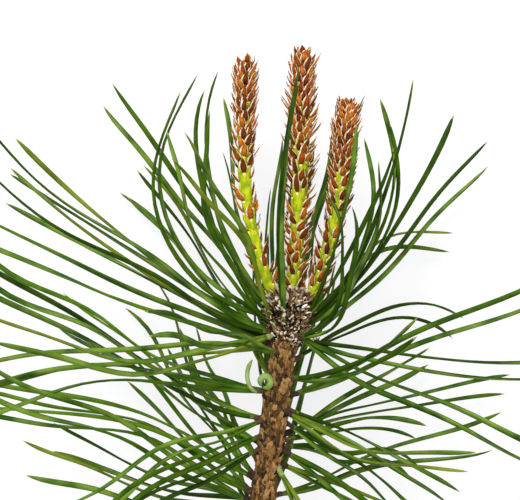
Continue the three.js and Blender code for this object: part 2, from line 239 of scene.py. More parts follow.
def point_at(path: np.ndarray, share: float) -> np.ndarray:
    """Finds a point on the smooth curve through a path's evenly spaced points.

    Args:
        path: Rows of points.
        share: 0 at the first point, 1 at the last.

    Returns:
        The point there.
    """
    last = len(path) - 1
    place = min(max(share, 0.0), 1.0) * last
    index = min(int(place), last - 1)
    t = place - index
    p1 = path[index]
    p2 = path[index + 1]
    p0 = path[index - 1] if index > 0 else 2.0 * p1 - p2
    p3 = path[index + 2] if index + 2 <= last else 2.0 * p2 - p1
    bend = 2.0 * p0 - 5.0 * p1 + 4.0 * p2 - p3
    twist = 3.0 * p1 - p0 - 3.0 * p2 + p3
    return p1 + 0.5 * t * (p2 - p0 + t * (bend + t * twist))


def forward_at(path: np.ndarray, share: float) -> np.ndarray:
    """Finds the direction of a path at a share of its length, with length 1."""
    step = 0.01
    return unit(point_at(path, share + step) - point_at(path, share - step))


@dataclass
class Draw:
    """Repeatable chances, by the same generator as the source of the solids."""

    state: int

    def chance(self) -> float:
        """Moves the generator on.

        Returns:
            The next number, from 0 to 1.
        """
        mask = 0xFFFFFFFF
        stride = 0x6D2B79F5
        self.state = (self.state + stride) & mask
        t = self.state
        t = ((t ^ (t >> 15)) * (t | 1)) & mask
        t ^= (t + ((t ^ (t >> 7)) * (t | 61) & mask)) & mask
        return (t ^ (t >> 14)) / (mask + 1)

    def between(self, low: float, high: float) -> float:
        """Gives a number between two ends."""
        return low + (high - low) * self.chance()

    def pick(self, shares: Sequence[float]) -> int:
        """Picks an index, each as likely as its share says.

        Args:
            shares: One share for each choice, which add up to 1.

        Returns:
            The index of the choice.
        """
        left = self.chance()
        for index, share in enumerate(shares):
            left -= share
            if left < 0.0:
                return index
        return len(shares) - 1


# Node trees


class NodeGraph:
    """One tree of nodes, in which each node is made by one call."""

    def __init__(self, tree: bpy.types.NodeTree) -> None:
        """Takes the tree that the nodes go into, a shader's or a geometry group's."""
        self.tree = tree

    def node(
        self,
        kind: str,
        settings: dict[str, object] | None = None,
        sockets: dict[str | int, object] | None = None,
    ) -> bpy.types.Node:
        """Makes a node.

        Args:
            kind: The node's type.
            settings: Its own settings, set first; a ramp's "stops" are pairs of place and colour.
            sockets: Values or links by the name or the number of the input.

        Returns:
            The node.
        """
        made = self.tree.nodes.new(kind)
        for name, value in (settings or {}).items():
            if name == "stops":
                self._set_stops(made, value)
            else:
                setattr(made, name, value)
        for key, value in (sockets or {}).items():
            self.feed(made.inputs[key], value)
        return made

    def feed(self, target: Socket, value: object) -> None:
        """Links or sets an input.

        Args:
            target: The input.
            value: A Value or a socket to link, or what the input is set to.
        """
        source = value.socket if isinstance(value, Value) else value
        if isinstance(source, Socket):
            self.tree.links.new(source, target)
        else:
            target.default_value = source

    @staticmethod
    def _set_stops(ramp: bpy.types.Node, stops: Sequence[tuple[float, Colour]]) -> None:
        """Gives a ramp its stops.

        Args:
            ramp: The ramp node.
            stops: Pairs of place and colour, from 0 to 1.
        """
        elements = ramp.color_ramp.elements
        while len(elements) < len(stops):
            elements.new(1.0)
        for element, (place, colour) in zip(elements, stops):
            element.position = place
            element.color = colour


class Value:
    """A number on a shader's socket, with which sums are written as in Python."""

    def __init__(self, graph: NodeGraph, socket: Socket) -> None:
        """Wraps the output that carries the number, and takes the graph for further nodes."""
        self.graph = graph
        self.socket = socket

    def _sum(self, operation: str, first: object, second: object) -> "Value":
        """Adds one Math node with an operation on two numbers, and gives its result."""
        made = self.graph.node("ShaderNodeMath", {"operation": operation}, {0: first, 1: second})
        return Value(self.graph, made.outputs[0])

    def __add__(self, other: object) -> "Value":
        """Adds a number or a Value."""
        return self._sum("ADD", self, other)

    def __radd__(self, other: object) -> "Value":
        """Adds itself to a number."""
        return self._sum("ADD", other, self)

    def __sub__(self, other: object) -> "Value":
        """Takes a number or a Value away."""
        return self._sum("SUBTRACT", self, other)

    def __rsub__(self, other: object) -> "Value":
        """Takes itself away from a number."""
        return self._sum("SUBTRACT", other, self)

    def __mul__(self, other: object) -> "Value":
        """Multiplies by a number or a Value."""
        return self._sum("MULTIPLY", self, other)

    def __rmul__(self, other: object) -> "Value":
        """Multiplies a number by itself."""
        return self._sum("MULTIPLY", other, self)


class Shader(NodeGraph):
    """A material made of procedural nodes on Object coordinates and attributes."""

    def __init__(self, name: str) -> None:
        """Starts an empty material.

        Args:
            name: The material's name.
        """
        self.material = bpy.data.materials.new(name)
        self.material.use_nodes = True
        super().__init__(self.material.node_tree)
        self.tree.nodes.clear()
        self.place = self.node("ShaderNodeTexCoord").outputs["Object"]

    def noise(
        self, per_mm: float, detail: float = 2.0, stretch: Sequence[float] = (1.0, 1.0, 1.0)
    ) -> Value:
        """Gives a cloudy pattern from 0 to 1.

        Args:
            per_mm: How many waves there are in a millimetre.
            detail: How many finer layers it has.
            stretch: A scale for each axis.

        Returns:
            The pattern.
        """
        mapped = self.node("ShaderNodeMapping", None, {"Vector": self.place, "Scale": tuple(stretch)})
        made = self.node(
            "ShaderNodeTexNoise",
            None,
            {"Vector": mapped.outputs[0], "Scale": per_mm / MM, "Detail": detail, "Roughness": 0.6},
        )
        return Value(self, made.outputs["Fac"])

    def attribute(self, name: str) -> Value:
        """Reads a number that the piece's own mesh carries."""
        made = self.node("ShaderNodeAttribute", {"attribute_name": name})
        return Value(self, made.outputs["Fac"])

    def ramp(self, factor: Value, places: Sequence[float], colours: Sequence[Colour]) -> Socket:
        """Turns a number into a colour.

        Args:
            factor: The number.
            places: Where the stops are.
            colours: The colour at each stop.

        Returns:
            The socket with the colour.
        """
        settings = {"stops": list(zip(places, colours))}
        return self.node("ShaderNodeValToRGB", settings, {0: factor}).outputs["Color"]

    def blend(self, factor: Value, first: object, second: object) -> Socket:
        """Mixes two colours.

        Args:
            factor: 0 for the first, 1 for the second.
            first: A colour or a socket.
            second: A colour or a socket.

        Returns:
            The socket with the mixed colour.
        """
        made = self.node("ShaderNodeMix", {"data_type": "RGBA"}, {0: factor, 6: first, 7: second})
        return made.outputs[2]

    def bump(self, height: Value, depth_mm: float) -> Socket:
        """Turns a height into a normal.

        Args:
            height: From 0 to 1.
            depth_mm: What a height of 1 stands for.

        Returns:
            The socket with the normal.
        """
        sockets = {"Height": height, "Distance": depth_mm * MM, "Strength": 1.0}
        return self.node("ShaderNodeBump", None, sockets).outputs["Normal"]

    def finish(self, sockets: dict[str | int, object]) -> Material:
        """Ends the material in one principled shader.

        Args:
            sockets: Values or links of the shader's inputs.

        Returns:
            The material.
        """
        shader = self.node("ShaderNodeBsdfPrincipled", None, sockets)
        self.node("ShaderNodeOutputMaterial", None, {"Surface": shader.outputs[0]})
        return self.material


class GeometryTree(NodeGraph):
    """A tree of geometry nodes with named inputs, which ends in painted plain meshes."""

    def __init__(self, name: str, inputs: dict[str, str]) -> None:
        """Starts the tree.

        Args:
            name: The tree's name.
            inputs: The type of each named input after the geometry.
        """
        super().__init__(bpy.data.node_groups.new(name, "GeometryNodeTree"))
        interface = self.tree.interface
        interface.new_socket("Geometry", in_out="INPUT", socket_type="NodeSocketGeometry")
        interface.new_socket("Geometry", in_out="OUTPUT", socket_type="NodeSocketGeometry")
        self.identifiers: dict[str, str] = {}
        for label, kind in inputs.items():
            made = interface.new_socket(label, in_out="INPUT", socket_type=kind)
            self.identifiers[label] = made.identifier
        self.entry = self.node("NodeGroupInput")

    def given(self, name: str) -> Socket:
        """Gives the socket of a named input."""
        return self.entry.outputs[name]

    def attribute(self, name: str, data_type: str = "FLOAT") -> Socket:
        """Reads an attribute of the geometry.

        Args:
            name: The attribute's name.
            data_type: FLOAT or FLOAT_VECTOR.

        Returns:
            The socket with it.
        """
        made = self.node("GeometryNodeInputNamedAttribute", {"data_type": data_type}, {"Name": name})
        return made.outputs[0]

    def near(self, number: Socket, target: float) -> Socket:
        """Says where a number is close to a target.

        Args:
            number: The socket with the number.
            target: What it is compared with.

        Returns:
            The socket with true or false.
        """
        within = 0.25
        made = self.node(
            "FunctionNodeCompare",
            {"data_type": "FLOAT", "operation": "EQUAL"},
            {0: number, 1: target, 12: within},
        )
        return made.outputs[0]

    def paint(self, geometry: Socket, where: Socket, label: str) -> Socket:
        """Gives the chosen faces the material of a named input.

        Args:
            geometry: The socket with the geometry.
            where: The socket that chooses faces.
            label: The input that holds the material.

        Returns:
            The socket with the painted geometry.
        """
        made = self.node(
            "GeometryNodeSetMaterial",
            None,
            {"Geometry": geometry, "Selection": where, "Material": self.given(label)},
        )
        return made.outputs[0]

    def close(self, geometry: Socket) -> None:
        """Ends the tree with this geometry."""
        self.node("NodeGroupOutput", None, {0: geometry})

    def grow(self, carrier: Object, values: dict[str, object]) -> Object:
        """Runs the tree on an object and keeps the result as its plain mesh.

        Args:
            carrier: The object whose mesh is the tree's input.
            values: What each named input is set to.

        Returns:
            The same object.
        """
        modifier = carrier.modifiers.new("grow", "NODES")
        modifier.node_group = self.tree
        for label, value in values.items():
            modifier[self.identifiers[label]] = value
        bpy.context.view_layer.update()
        depsgraph = bpy.context.evaluated_depsgraph_get()
        mesh = bpy.data.meshes.new_from_object(carrier.evaluated_get(depsgraph), depsgraph=depsgraph)
        carrier.modifiers.remove(modifier)
        mesh.name = carrier.name
        carrier.data = mesh
        return carrier


# Meshes


@dataclass
class Shell:
    """A closed shape in the making, with a part number for each of its faces."""

    points: list[np.ndarray] = field(default_factory=list)
    faces: list[tuple[int, ...]] = field(default_factory=list)
    parts: list[int] = field(default_factory=list)

    def add_rings(self, rings: Sequence[Sequence[np.ndarray]], parts: Sequence[int]) -> None:
        """Adds a closed skin over rings of points, with a flat face at either end.

        Args:
            rings: Rings of as many points each, turning left about the way they go.
            parts: A part number for each stretch between two rings.
        """
        base = len(self.points)
        sides = len(rings[0])
        for ring in rings:
            self.points.extend(ring)
        for row, part in enumerate(parts):
            for side in range(sides):
                low = base + row * sides + side
                low_next = base + row * sides + (side + 1) % sides
                self.faces.append((low, low_next, low_next + sides, low + sides))
                self.parts.append(part)
        top = base + (len(rings) - 1) * sides
        self.faces.append(tuple(base + side for side in reversed(range(sides))))
        self.parts.append(parts[0])
        self.faces.append(tuple(top + side for side in range(sides)))
        self.parts.append(parts[-1])

    def to_object(self, name: str, scale: float = MM, smooth: bool = True) -> Object:
        """Makes the shape an object at the origin.

        Args:
            name: The object's name.
            scale: What the points are multiplied by.
            smooth: Whether its faces are shaded smooth.

        Returns:
            The object, with the parts as a face attribute.
        """
        mesh = bpy.data.meshes.new(name)
        mesh.from_pydata([tuple(point * scale) for point in self.points], [], self.faces)
        part = mesh.attributes.new("part", "FLOAT", "FACE")
        part.data.foreach_set("value", np.array(self.parts, np.float32))
        mesh.polygons.foreach_set("use_smooth", [smooth] * len(mesh.polygons))
        mesh.update()
        return link(bpy.data.objects.new(name, mesh))


def link(made: Object) -> Object:
    """Puts an object into the scene and gives it back."""
    bpy.context.scene.collection.objects.link(made)
    return made


def ring_round(
    centre: np.ndarray, forward: np.ndarray, first: np.ndarray, radii: tuple[float, float], sides: int
) -> list[np.ndarray]:
    """Makes an oval ring of points.

    Args:
        centre: The ring's middle.
        forward: The direction that the ring faces.
        first: The direction of its first point, square to forward.
        radii: Its radius along first and square to it.
        sides: The number of points.

    Returns:
        The points, turning left about forward.
    """
    second = np.cross(forward, first)
    ring = []
    for side in range(sides):
        angle = 2.0 * math.pi * side / sides
        ring.append(centre + first * radii[0] * math.cos(angle) + second * radii[1] * math.sin(angle))
    return ring


def adopt(piece: Object, nodes: Sequence[str]) -> Object:
    """Args:
        piece: The piece, at the origin.
        nodes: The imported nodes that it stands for.

    Returns:
        The piece.
    """
    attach(piece, BODY)
    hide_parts(*nodes)
    piece.data.calc_loop_triangles()
    LOG.info("%s: %d triangles", piece.name, len(piece.data.loop_triangles))
    return piece


@dataclass
class Sprinkle:
    """Places for many copies of one small shape, each with its aim, face, size and tone."""

    places: list[np.ndarray] = field(default_factory=list)
    aims: list[np.ndarray] = field(default_factory=list)
    faces: list[np.ndarray] = field(default_factory=list)
    sizes: list[Triple] = field(default_factory=list)
    tones: list[float] = field(default_factory=list)

    def add(
        self,
        place: np.ndarray,
        aim: np.ndarray,
        face: np.ndarray,
        size: Triple,
        tone: float,
    ) -> None:
        """Adds one copy.

        Args:
            place: Where its foot is, in mm.
            aim: The direction that it points in.
            face: The direction that its outer side looks in.
            size: Its scale across, along and through.
            tone: The number of its finish.
        """
        self.places.append(place)
        self.aims.append(unit(aim))
        self.faces.append(unit(face))
        self.sizes.append(size)
        self.tones.append(tone)

    def to_object(self, name: str) -> Object:
        """Makes the places an object of loose points, with the rest as their attributes.

        Args:
            name: The object's name.

        Returns:
            The object.
        """
        mesh = bpy.data.meshes.new(name)
        mesh.from_pydata([tuple(point) for point in in_frame(np.array(self.places))], [], [])
        for label, rows in (("aim", self.aims), ("face", self.faces), ("size", self.sizes)):
            attribute = mesh.attributes.new(label, "FLOAT_VECTOR", "POINT")
            attribute.data.foreach_set("vector", np.array(rows, np.float32).ravel())
        tone = mesh.attributes.new("tone", "FLOAT", "POINT")
        tone.data.foreach_set("value", np.array(self.tones, np.float32))
        return link(bpy.data.objects.new(name, mesh))


class ScatterTree(GeometryTree):
    """Puts a copy of one shape on each point, turned by its aim and face."""

    def __init__(self, name: str, tones: Sequence[str], parts: dict[int, str]) -> None:
        """Builds the tree.

        Args:
            name: The tree's name.
            tones: The inputs whose materials the tones of part 0 take, in order.
            parts: The input for each further part of the shape.
        """
        materials = {label: "NodeSocketMaterial" for label in [*tones, *parts.values()]}
        super().__init__(name, {"Shape": "NodeSocketObject", "Size": "NodeSocketFloat", **materials})
        source = {"Object": self.given("Shape")}
        shape = self.node("GeometryNodeObjectInfo", {"transform_space": "ORIGINAL"}, source)
        turn = self.node(
            "FunctionNodeAxesToRotation",
            {"primary_axis": "Y", "secondary_axis": "Z"},
            {0: self.attribute("aim", "FLOAT_VECTOR"), 1: self.attribute("face", "FLOAT_VECTOR")},
        )
        size = self.node(
            "ShaderNodeVectorMath",
            {"operation": "SCALE"},
            {0: self.attribute("size", "FLOAT_VECTOR"), "Scale": self.given("Size")},
        )
        points = self.node("GeometryNodeMeshToPoints", None, {"Mesh": self.given("Geometry")})
        copies = self.node(
            "GeometryNodeInstanceOnPoints",
            None,
            {
                "Points": points.outputs[0],
                "Instance": shape.outputs["Geometry"],
                "Rotation": turn.outputs[0],
                "Scale": size.outputs[0],
            },
        )
        carried = self.node(
            "GeometryNodeStoreNamedAttribute",
            {"data_type": "FLOAT", "domain": "INSTANCE"},
            {"Geometry": copies.outputs[0], "Name": "shade", "Value": self.attribute("tone")},
        )
        geometry = self.node("GeometryNodeRealizeInstances", None, {0: carried.outputs[0]}).outputs[0]
        for number, label in enumerate(tones):
            geometry = self.paint(geometry, self.near(self.attribute("shade"), number), label)
        for number, label in parts.items():
            geometry = self.paint(geometry, self.near(self.attribute("part"), number), label)
        self.close(geometry)


# Finishes


BLACK: Colour = (0.0, 0.0, 0.0, 1.0)
WHITE: Colour = (1.0, 1.0, 1.0, 1.0)


@dataclass(frozen=True)
class PlainFinish:
    """A plant surface of two close colours in fine cloudy spots."""

    name: str
    first: Colour
    second: Colour
    roughness: float = 0.5
    spots_per_mm: float = 0.7
    grain_mm: float = 0.02
    gloss: float = 0.2
    glow: float = 0.0
    grains_per_mm: float = 6.0
    unevenness: float = 0.2
    stops: Span = (0.35, 0.65)
    glow_depths_mm: Triple = (0.8, 1.0, 0.3)

    def build(self) -> Material:
        """Makes the material.

        Returns:
            The material.
        """
        shader = Shader(self.name)
        cloud = shader.noise(self.spots_per_mm)
        grain = shader.noise(self.grains_per_mm, detail=1.0)
        return shader.finish(
            {
                "Base Color": shader.ramp(cloud, self.stops, (self.first, self.second)),
                "Roughness": self.roughness - self.unevenness / 2.0 + self.unevenness * grain,
                "Normal": shader.bump(grain, self.grain_mm),
                "Specular IOR Level": self.gloss,
                "Subsurface Weight": self.glow,
                "Subsurface Radius": tuple(depth * MM for depth in self.glow_depths_mm),
            }
        )


@dataclass(frozen=True)
class BarkFinish:
    """Soft flaking bark, mottled, dark in its gaps and round the feet of the needles."""

    name: str = "scaly_bark"
    dark: Colour = tint(74, 50, 18)
    middle: Colour = tint(130, 94, 48)
    light: Colour = tint(160, 122, 76)
    fleck: Colour = tint(202, 168, 130)
    crack: Colour = tint(30, 21, 12)
    streaks_per_mm: float = 1.0
    streak_stretch: Triple = (1.0, 0.5, 1.0)
    grains_per_mm: float = 3.4
    plate_share: float = 0.16
    relief_share: float = 0.26
    streak_share: float = 0.36
    grain_share: float = 0.3
    shade_stops: Triple = (0.36, 0.52, 0.68)
    fleck_stops: Span = (0.64, 0.72)
    crack_stops: Span = (0.1, 0.36)
    scar_depth: float = 0.5
    roughness: float = 0.75
    unevenness: float = 0.2
    bump_mm: float = 0.3
    gloss: float = 0.2

    def build(self) -> Material:
        """Makes the material, which reads the relief, the plates and the scars of the stem's mesh.

        Returns:
            The material.
        """
        shader = Shader(self.name)
        relief = shader.attribute("relief")
        streak = shader.noise(self.streaks_per_mm, detail=5.0, stretch=self.streak_stretch)
        grain = shader.noise(self.grains_per_mm, detail=3.0)
        height = shader.attribute("plate") * self.plate_share + relief * self.relief_share
        shade = height + streak * self.streak_share + grain * self.grain_share
        body = shader.ramp(shade, self.shade_stops, (self.dark, self.middle, self.light))
        is_fleck = shader.ramp(grain, self.fleck_stops, (BLACK, WHITE))
        flecked = shader.blend(is_fleck, body, self.fleck)
        depth = relief - shader.attribute("scar") * self.scar_depth
        is_crack = shader.ramp(depth, self.crack_stops, (WHITE, BLACK))
        return shader.finish(
            {
                "Base Color": shader.blend(is_crack, flecked, self.crack),
                "Roughness": self.roughness + self.unevenness * grain,
                "Normal": shader.bump(grain + streak, self.bump_mm),
                "Specular IOR Level": self.gloss,
            }
        )


@dataclass(frozen=True)
class CutWoodFinish:
    """Fresh pale wood with year rings round the pith."""

    name: str = "cut_wood"
    early: Colour = tint(228, 200, 150)
    late: Colour = tint(184, 140, 88)
    pith: Colour = tint(120, 84, 50)
    wobble_per_mm: float = 0.5
    turn_per_mm: float = 7.0
    ring_stops: Span = (0.2, 0.9)
    pith_stops_mm: Span = (0.3, 0.5)
    clouds_per_mm: float = 2.0
    roughness: float = 0.7
    unevenness: float = 0.1
    fibres_per_mm: float = 4.0
    fibre_mm: float = 0.06

    def build(self) -> Material:
        """Makes the material, whose rings lie round the middle of the cut.

        Returns:
            The material.
        """
        shader = Shader(self.name)
        middle = tuple(-coordinate * MM for coordinate in CUT_PLACE)
        mapped = shader.node("ShaderNodeMapping", None, {"Vector": shader.place, "Location": middle})
        length = shader.node("ShaderNodeVectorMath", {"operation": "LENGTH"}, {0: mapped.outputs[0]})
        distance = Value(shader, length.outputs["Value"]) * (1.0 / MM)
        turn = (distance + shader.noise(self.wobble_per_mm)) * self.turn_per_mm
        sine = shader.node("ShaderNodeMath", {"operation": "SINE"}, {0: turn})
        wave = Value(shader, sine.outputs[0]) * 0.5 + 0.5
        rings = shader.ramp(wave, self.ring_stops, (self.early, self.late))
        is_pith = shader.ramp(distance, self.pith_stops_mm, (WHITE, BLACK))
        return shader.finish(
            {
                "Base Color": shader.blend(is_pith, rings, self.pith),
                "Roughness": self.roughness + self.unevenness * shader.noise(self.clouds_per_mm),
                "Normal": shader.bump(shader.noise(self.fibres_per_mm), self.fibre_mm),
            }
        )


@dataclass(frozen=True)
class FloorFinish:
    """A plain matt pale ground."""

    name: str = "pale_floor"
    colour: Colour = tint(128, 128, 129)
    other: Colour = tint(131, 131, 131)
    glow: Colour = tint(225, 225, 226)
    clouds_per_mm: float = 0.02
    stops: Span = (0.3, 0.7)

    def build(self) -> Material:
        """Makes the material.

        Returns:
            The material.
        """
        shader = Shader(self.name)
        cloud = shader.noise(self.clouds_per_mm)
        return shader.finish(
            {
                "Base Color": shader.ramp(cloud, self.stops, (self.colour, self.other)),
                "Roughness": 0.9,
                "Specular IOR Level": 0.1,
                "Emission Color": self.glow,
                "Emission Strength": 1.0,
            }
        )


def needle_finish(
    name: str,
    first: Colour,
    second: Colour,
    roughness: float,
    spots_per_mm: float = 0.16,
    gloss: float = 0.05,
) -> PlainFinish:
    """Gives the finish of a part of the needles, which have hardly any grain."""
    return PlainFinish(name, first, second, roughness, spots_per_mm, grain_mm=0.006, gloss=gloss)


def paper_finish(name: str, first: Colour, second: Colour, roughness: float = 0.75) -> PlainFinish:
    """Gives the finish of a dry paper, with small spots."""
    return PlainFinish(name, first, second, roughness, spots_per_mm=1.5)


def bract_finish(name: str, first: Colour, second: Colour) -> PlainFinish:
    """Gives the finish of a candle's scale, which is rough and dull."""
    return PlainFinish(name, first, second, spots_per_mm=1.1, grain_mm=0.04, gloss=0.08)


class NeedleTint(Enum):
    """The greens of the needles, of which all but the last are dealt out to the pairs."""

    DEEP = needle_finish("needle_deep", tint(26, 50, 1), tint(48, 73, 4), 0.3)
    LEAF = needle_finish("needle_leaf", tint(38, 66, 2), tint(64, 94, 8), 0.3)
    BRIGHT = needle_finish("needle_bright", tint(56, 92, 4), tint(88, 121, 16), 0.32)
    OLIVE = needle_finish("needle_olive", tint(74, 92, 12), tint(110, 126, 34), 0.34)
    PALE = needle_finish("needle_pale", tint(100, 130, 52), tint(144, 166, 96), 0.34, 0.3)


class PaperTone(Enum):
    """The dry papers round the bud."""

    WHITE = paper_finish("paper_white", tint(244, 238, 224), tint(214, 194, 162))
    BEIGE = paper_finish("paper_beige", tint(176, 142, 96), tint(130, 98, 64))
    BROWN = paper_finish("paper_brown", tint(122, 84, 40), tint(78, 50, 24), 0.7)
    DARK = paper_finish("paper_dark", tint(36, 26, 19), tint(22, 16, 12), 0.6)


class BractTone(Enum):
    """The rusty scales of the candles."""

    DARK = bract_finish("bract_dark", tint(118, 56, 8), tint(82, 38, 4))
    RUST = bract_finish("bract_rust", tint(160, 78, 8), tint(114, 52, 4))
    LIGHT = bract_finish("bract_light", tint(196, 116, 28), tint(152, 78, 10))


class PegTone(Enum):
    """The pegs that the needle pairs stand on, bare or in a pale sheath."""

    DARK = PlainFinish("peg_dark", tint(36, 26, 18), tint(60, 42, 28), 0.75, 1.5, grain_mm=0.08)
    BROWN = PlainFinish("peg_brown", tint(90, 66, 38), tint(56, 40, 24), 0.75, 1.5, grain_mm=0.08)
    SHEATH = PlainFinish("sheath_pale", tint(140, 152, 92), tint(110, 130, 64), 0.6, 1.2, grain_mm=0.05)


NEEDLE_SHARES = (0.34, 0.36, 0.18, 0.12)
# The flat inner side of each needle is paler: partly its own bands of stomata, partly a painted highlight
# that shows wherever a needle twists that side into view.
NEEDLE_FLAT_PALE_AND_SHEEN = needle_finish("needle_flat", tint(40, 74, 6), tint(104, 132, 44), 0.32, 0.12, 0.06)
NEEDLE_NECK = needle_finish("needle_neck", tint(62, 84, 16), tint(92, 108, 36), 0.45, 0.4, 0.1)
NEEDLE_TIP = needle_finish("needle_tip", tint(146, 142, 36), tint(108, 112, 26), 0.5, 0.4, 0.1)
FRINGE = PlainFinish("bract_fringe", tint(246, 234, 212), tint(214, 178, 130), 0.7, 0.8)
SHOOT_GREEN = PlainFinish("shoot_green", tint(190, 196, 4), tint(124, 150, 8), 0.5, 0.5, glow=0.12)
CUSHION_GREEN = PlainFinish("cushion_green", tint(146, 164, 8), tint(196, 200, 26), 0.5, 0.6)
CUSHION_CREAM = PlainFinish("cushion_cream", tint(228, 218, 140), tint(206, 192, 92), 0.55, 0.8)


def built(tones: type[Enum]) -> dict[str, Material]:
    """Makes the materials of a set of finishes, by their names in the set."""
    return {member.name: member.value.build() for member in tones}


# The needles' rule


def sector_of(around: float) -> str:
    """Names the side of the stem that an angle in degrees is on."""
    return list(SECTORS)[math.floor((around % 360.0) / SECTOR_SPAN + 0.5) % len(SECTORS)]


@dataclass(frozen=True)
class Pair:
    """Two needles that grow from one root."""

    along: float
    around: float
    rise: float
    bend: float
    late: float
    wave: float
    length: float
    spread: float
    uneven: float

    @property
    def tier(self) -> str:
        """Names the tier that its root is in."""
        return next(name for name, (low, high) in TIERS.items() if low <= self.along < high)

    @property
    def node(self) -> str:
        """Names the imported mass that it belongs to."""
        return f"needles_{self.tier}_{sector_of(self.around)}"

    def beside(self) -> np.ndarray:
        """Gives the direction from one needle's foot to the other's."""
        launch = math.radians(self.rise)
        return outward(self.around + 90.0) * math.sin(launch) + TANGENT * math.cos(launch)

    def launch(self) -> np.ndarray:
        """Gives the direction in which the pair leaves the stem."""
        angle = math.radians(self.rise)
        return outward(self.around) * math.cos(angle) + TANGENT * math.sin(angle)


@dataclass
class Shoot:
    """A pair that has found room, with the paths of its two needles in mm."""

    pair: Pair
    paths: tuple[np.ndarray, np.ndarray]


def least_gaps(first: np.ndarray, second: np.ndarray) -> np.ndarray:
    """Measures how close the stretches of some paths come to those of one path.

    Args:
        first: One path, as rows of points.
        second: Many stretches, as an array of starts and ends.

    Returns:
        The least distance from the path to each stretch.
    """
    parallel = 1e-9
    p = first[:-1, None, :]
    d1 = first[1:, None, :] - p
    r = second[None, :, 0, :]
    d2 = second[None, :, 1, :] - r
    between = p - r
    a = (d1 * d1).sum(-1)
    e = (d2 * d2).sum(-1)
    b = (d1 * d2).sum(-1)
    c = (d1 * between).sum(-1)
    f = (d2 * between).sum(-1)
    area = a * e - b * b
    safe = np.where(area > parallel, area, 1.0)
    t = np.where(area > parallel, np.clip((b * f - c * e) / safe, 0.0, 1.0), 0.0)
    u = (b * t + f) / e
    clipped = np.clip(u, 0.0, 1.0)
    t = np.where(clipped != u, np.clip((b * clipped - c) / a, 0.0, 1.0), t)
    apart = between + d1 * t[..., None] - d2 * clipped[..., None]
    return np.sqrt((apart * apart).sum(-1)).min(0)


def stretches(path: np.ndarray) -> np.ndarray:
    """Splits a path into its straight stretches, each a start and an end."""
    return np.stack([path[:-1], path[1:]], axis=1)


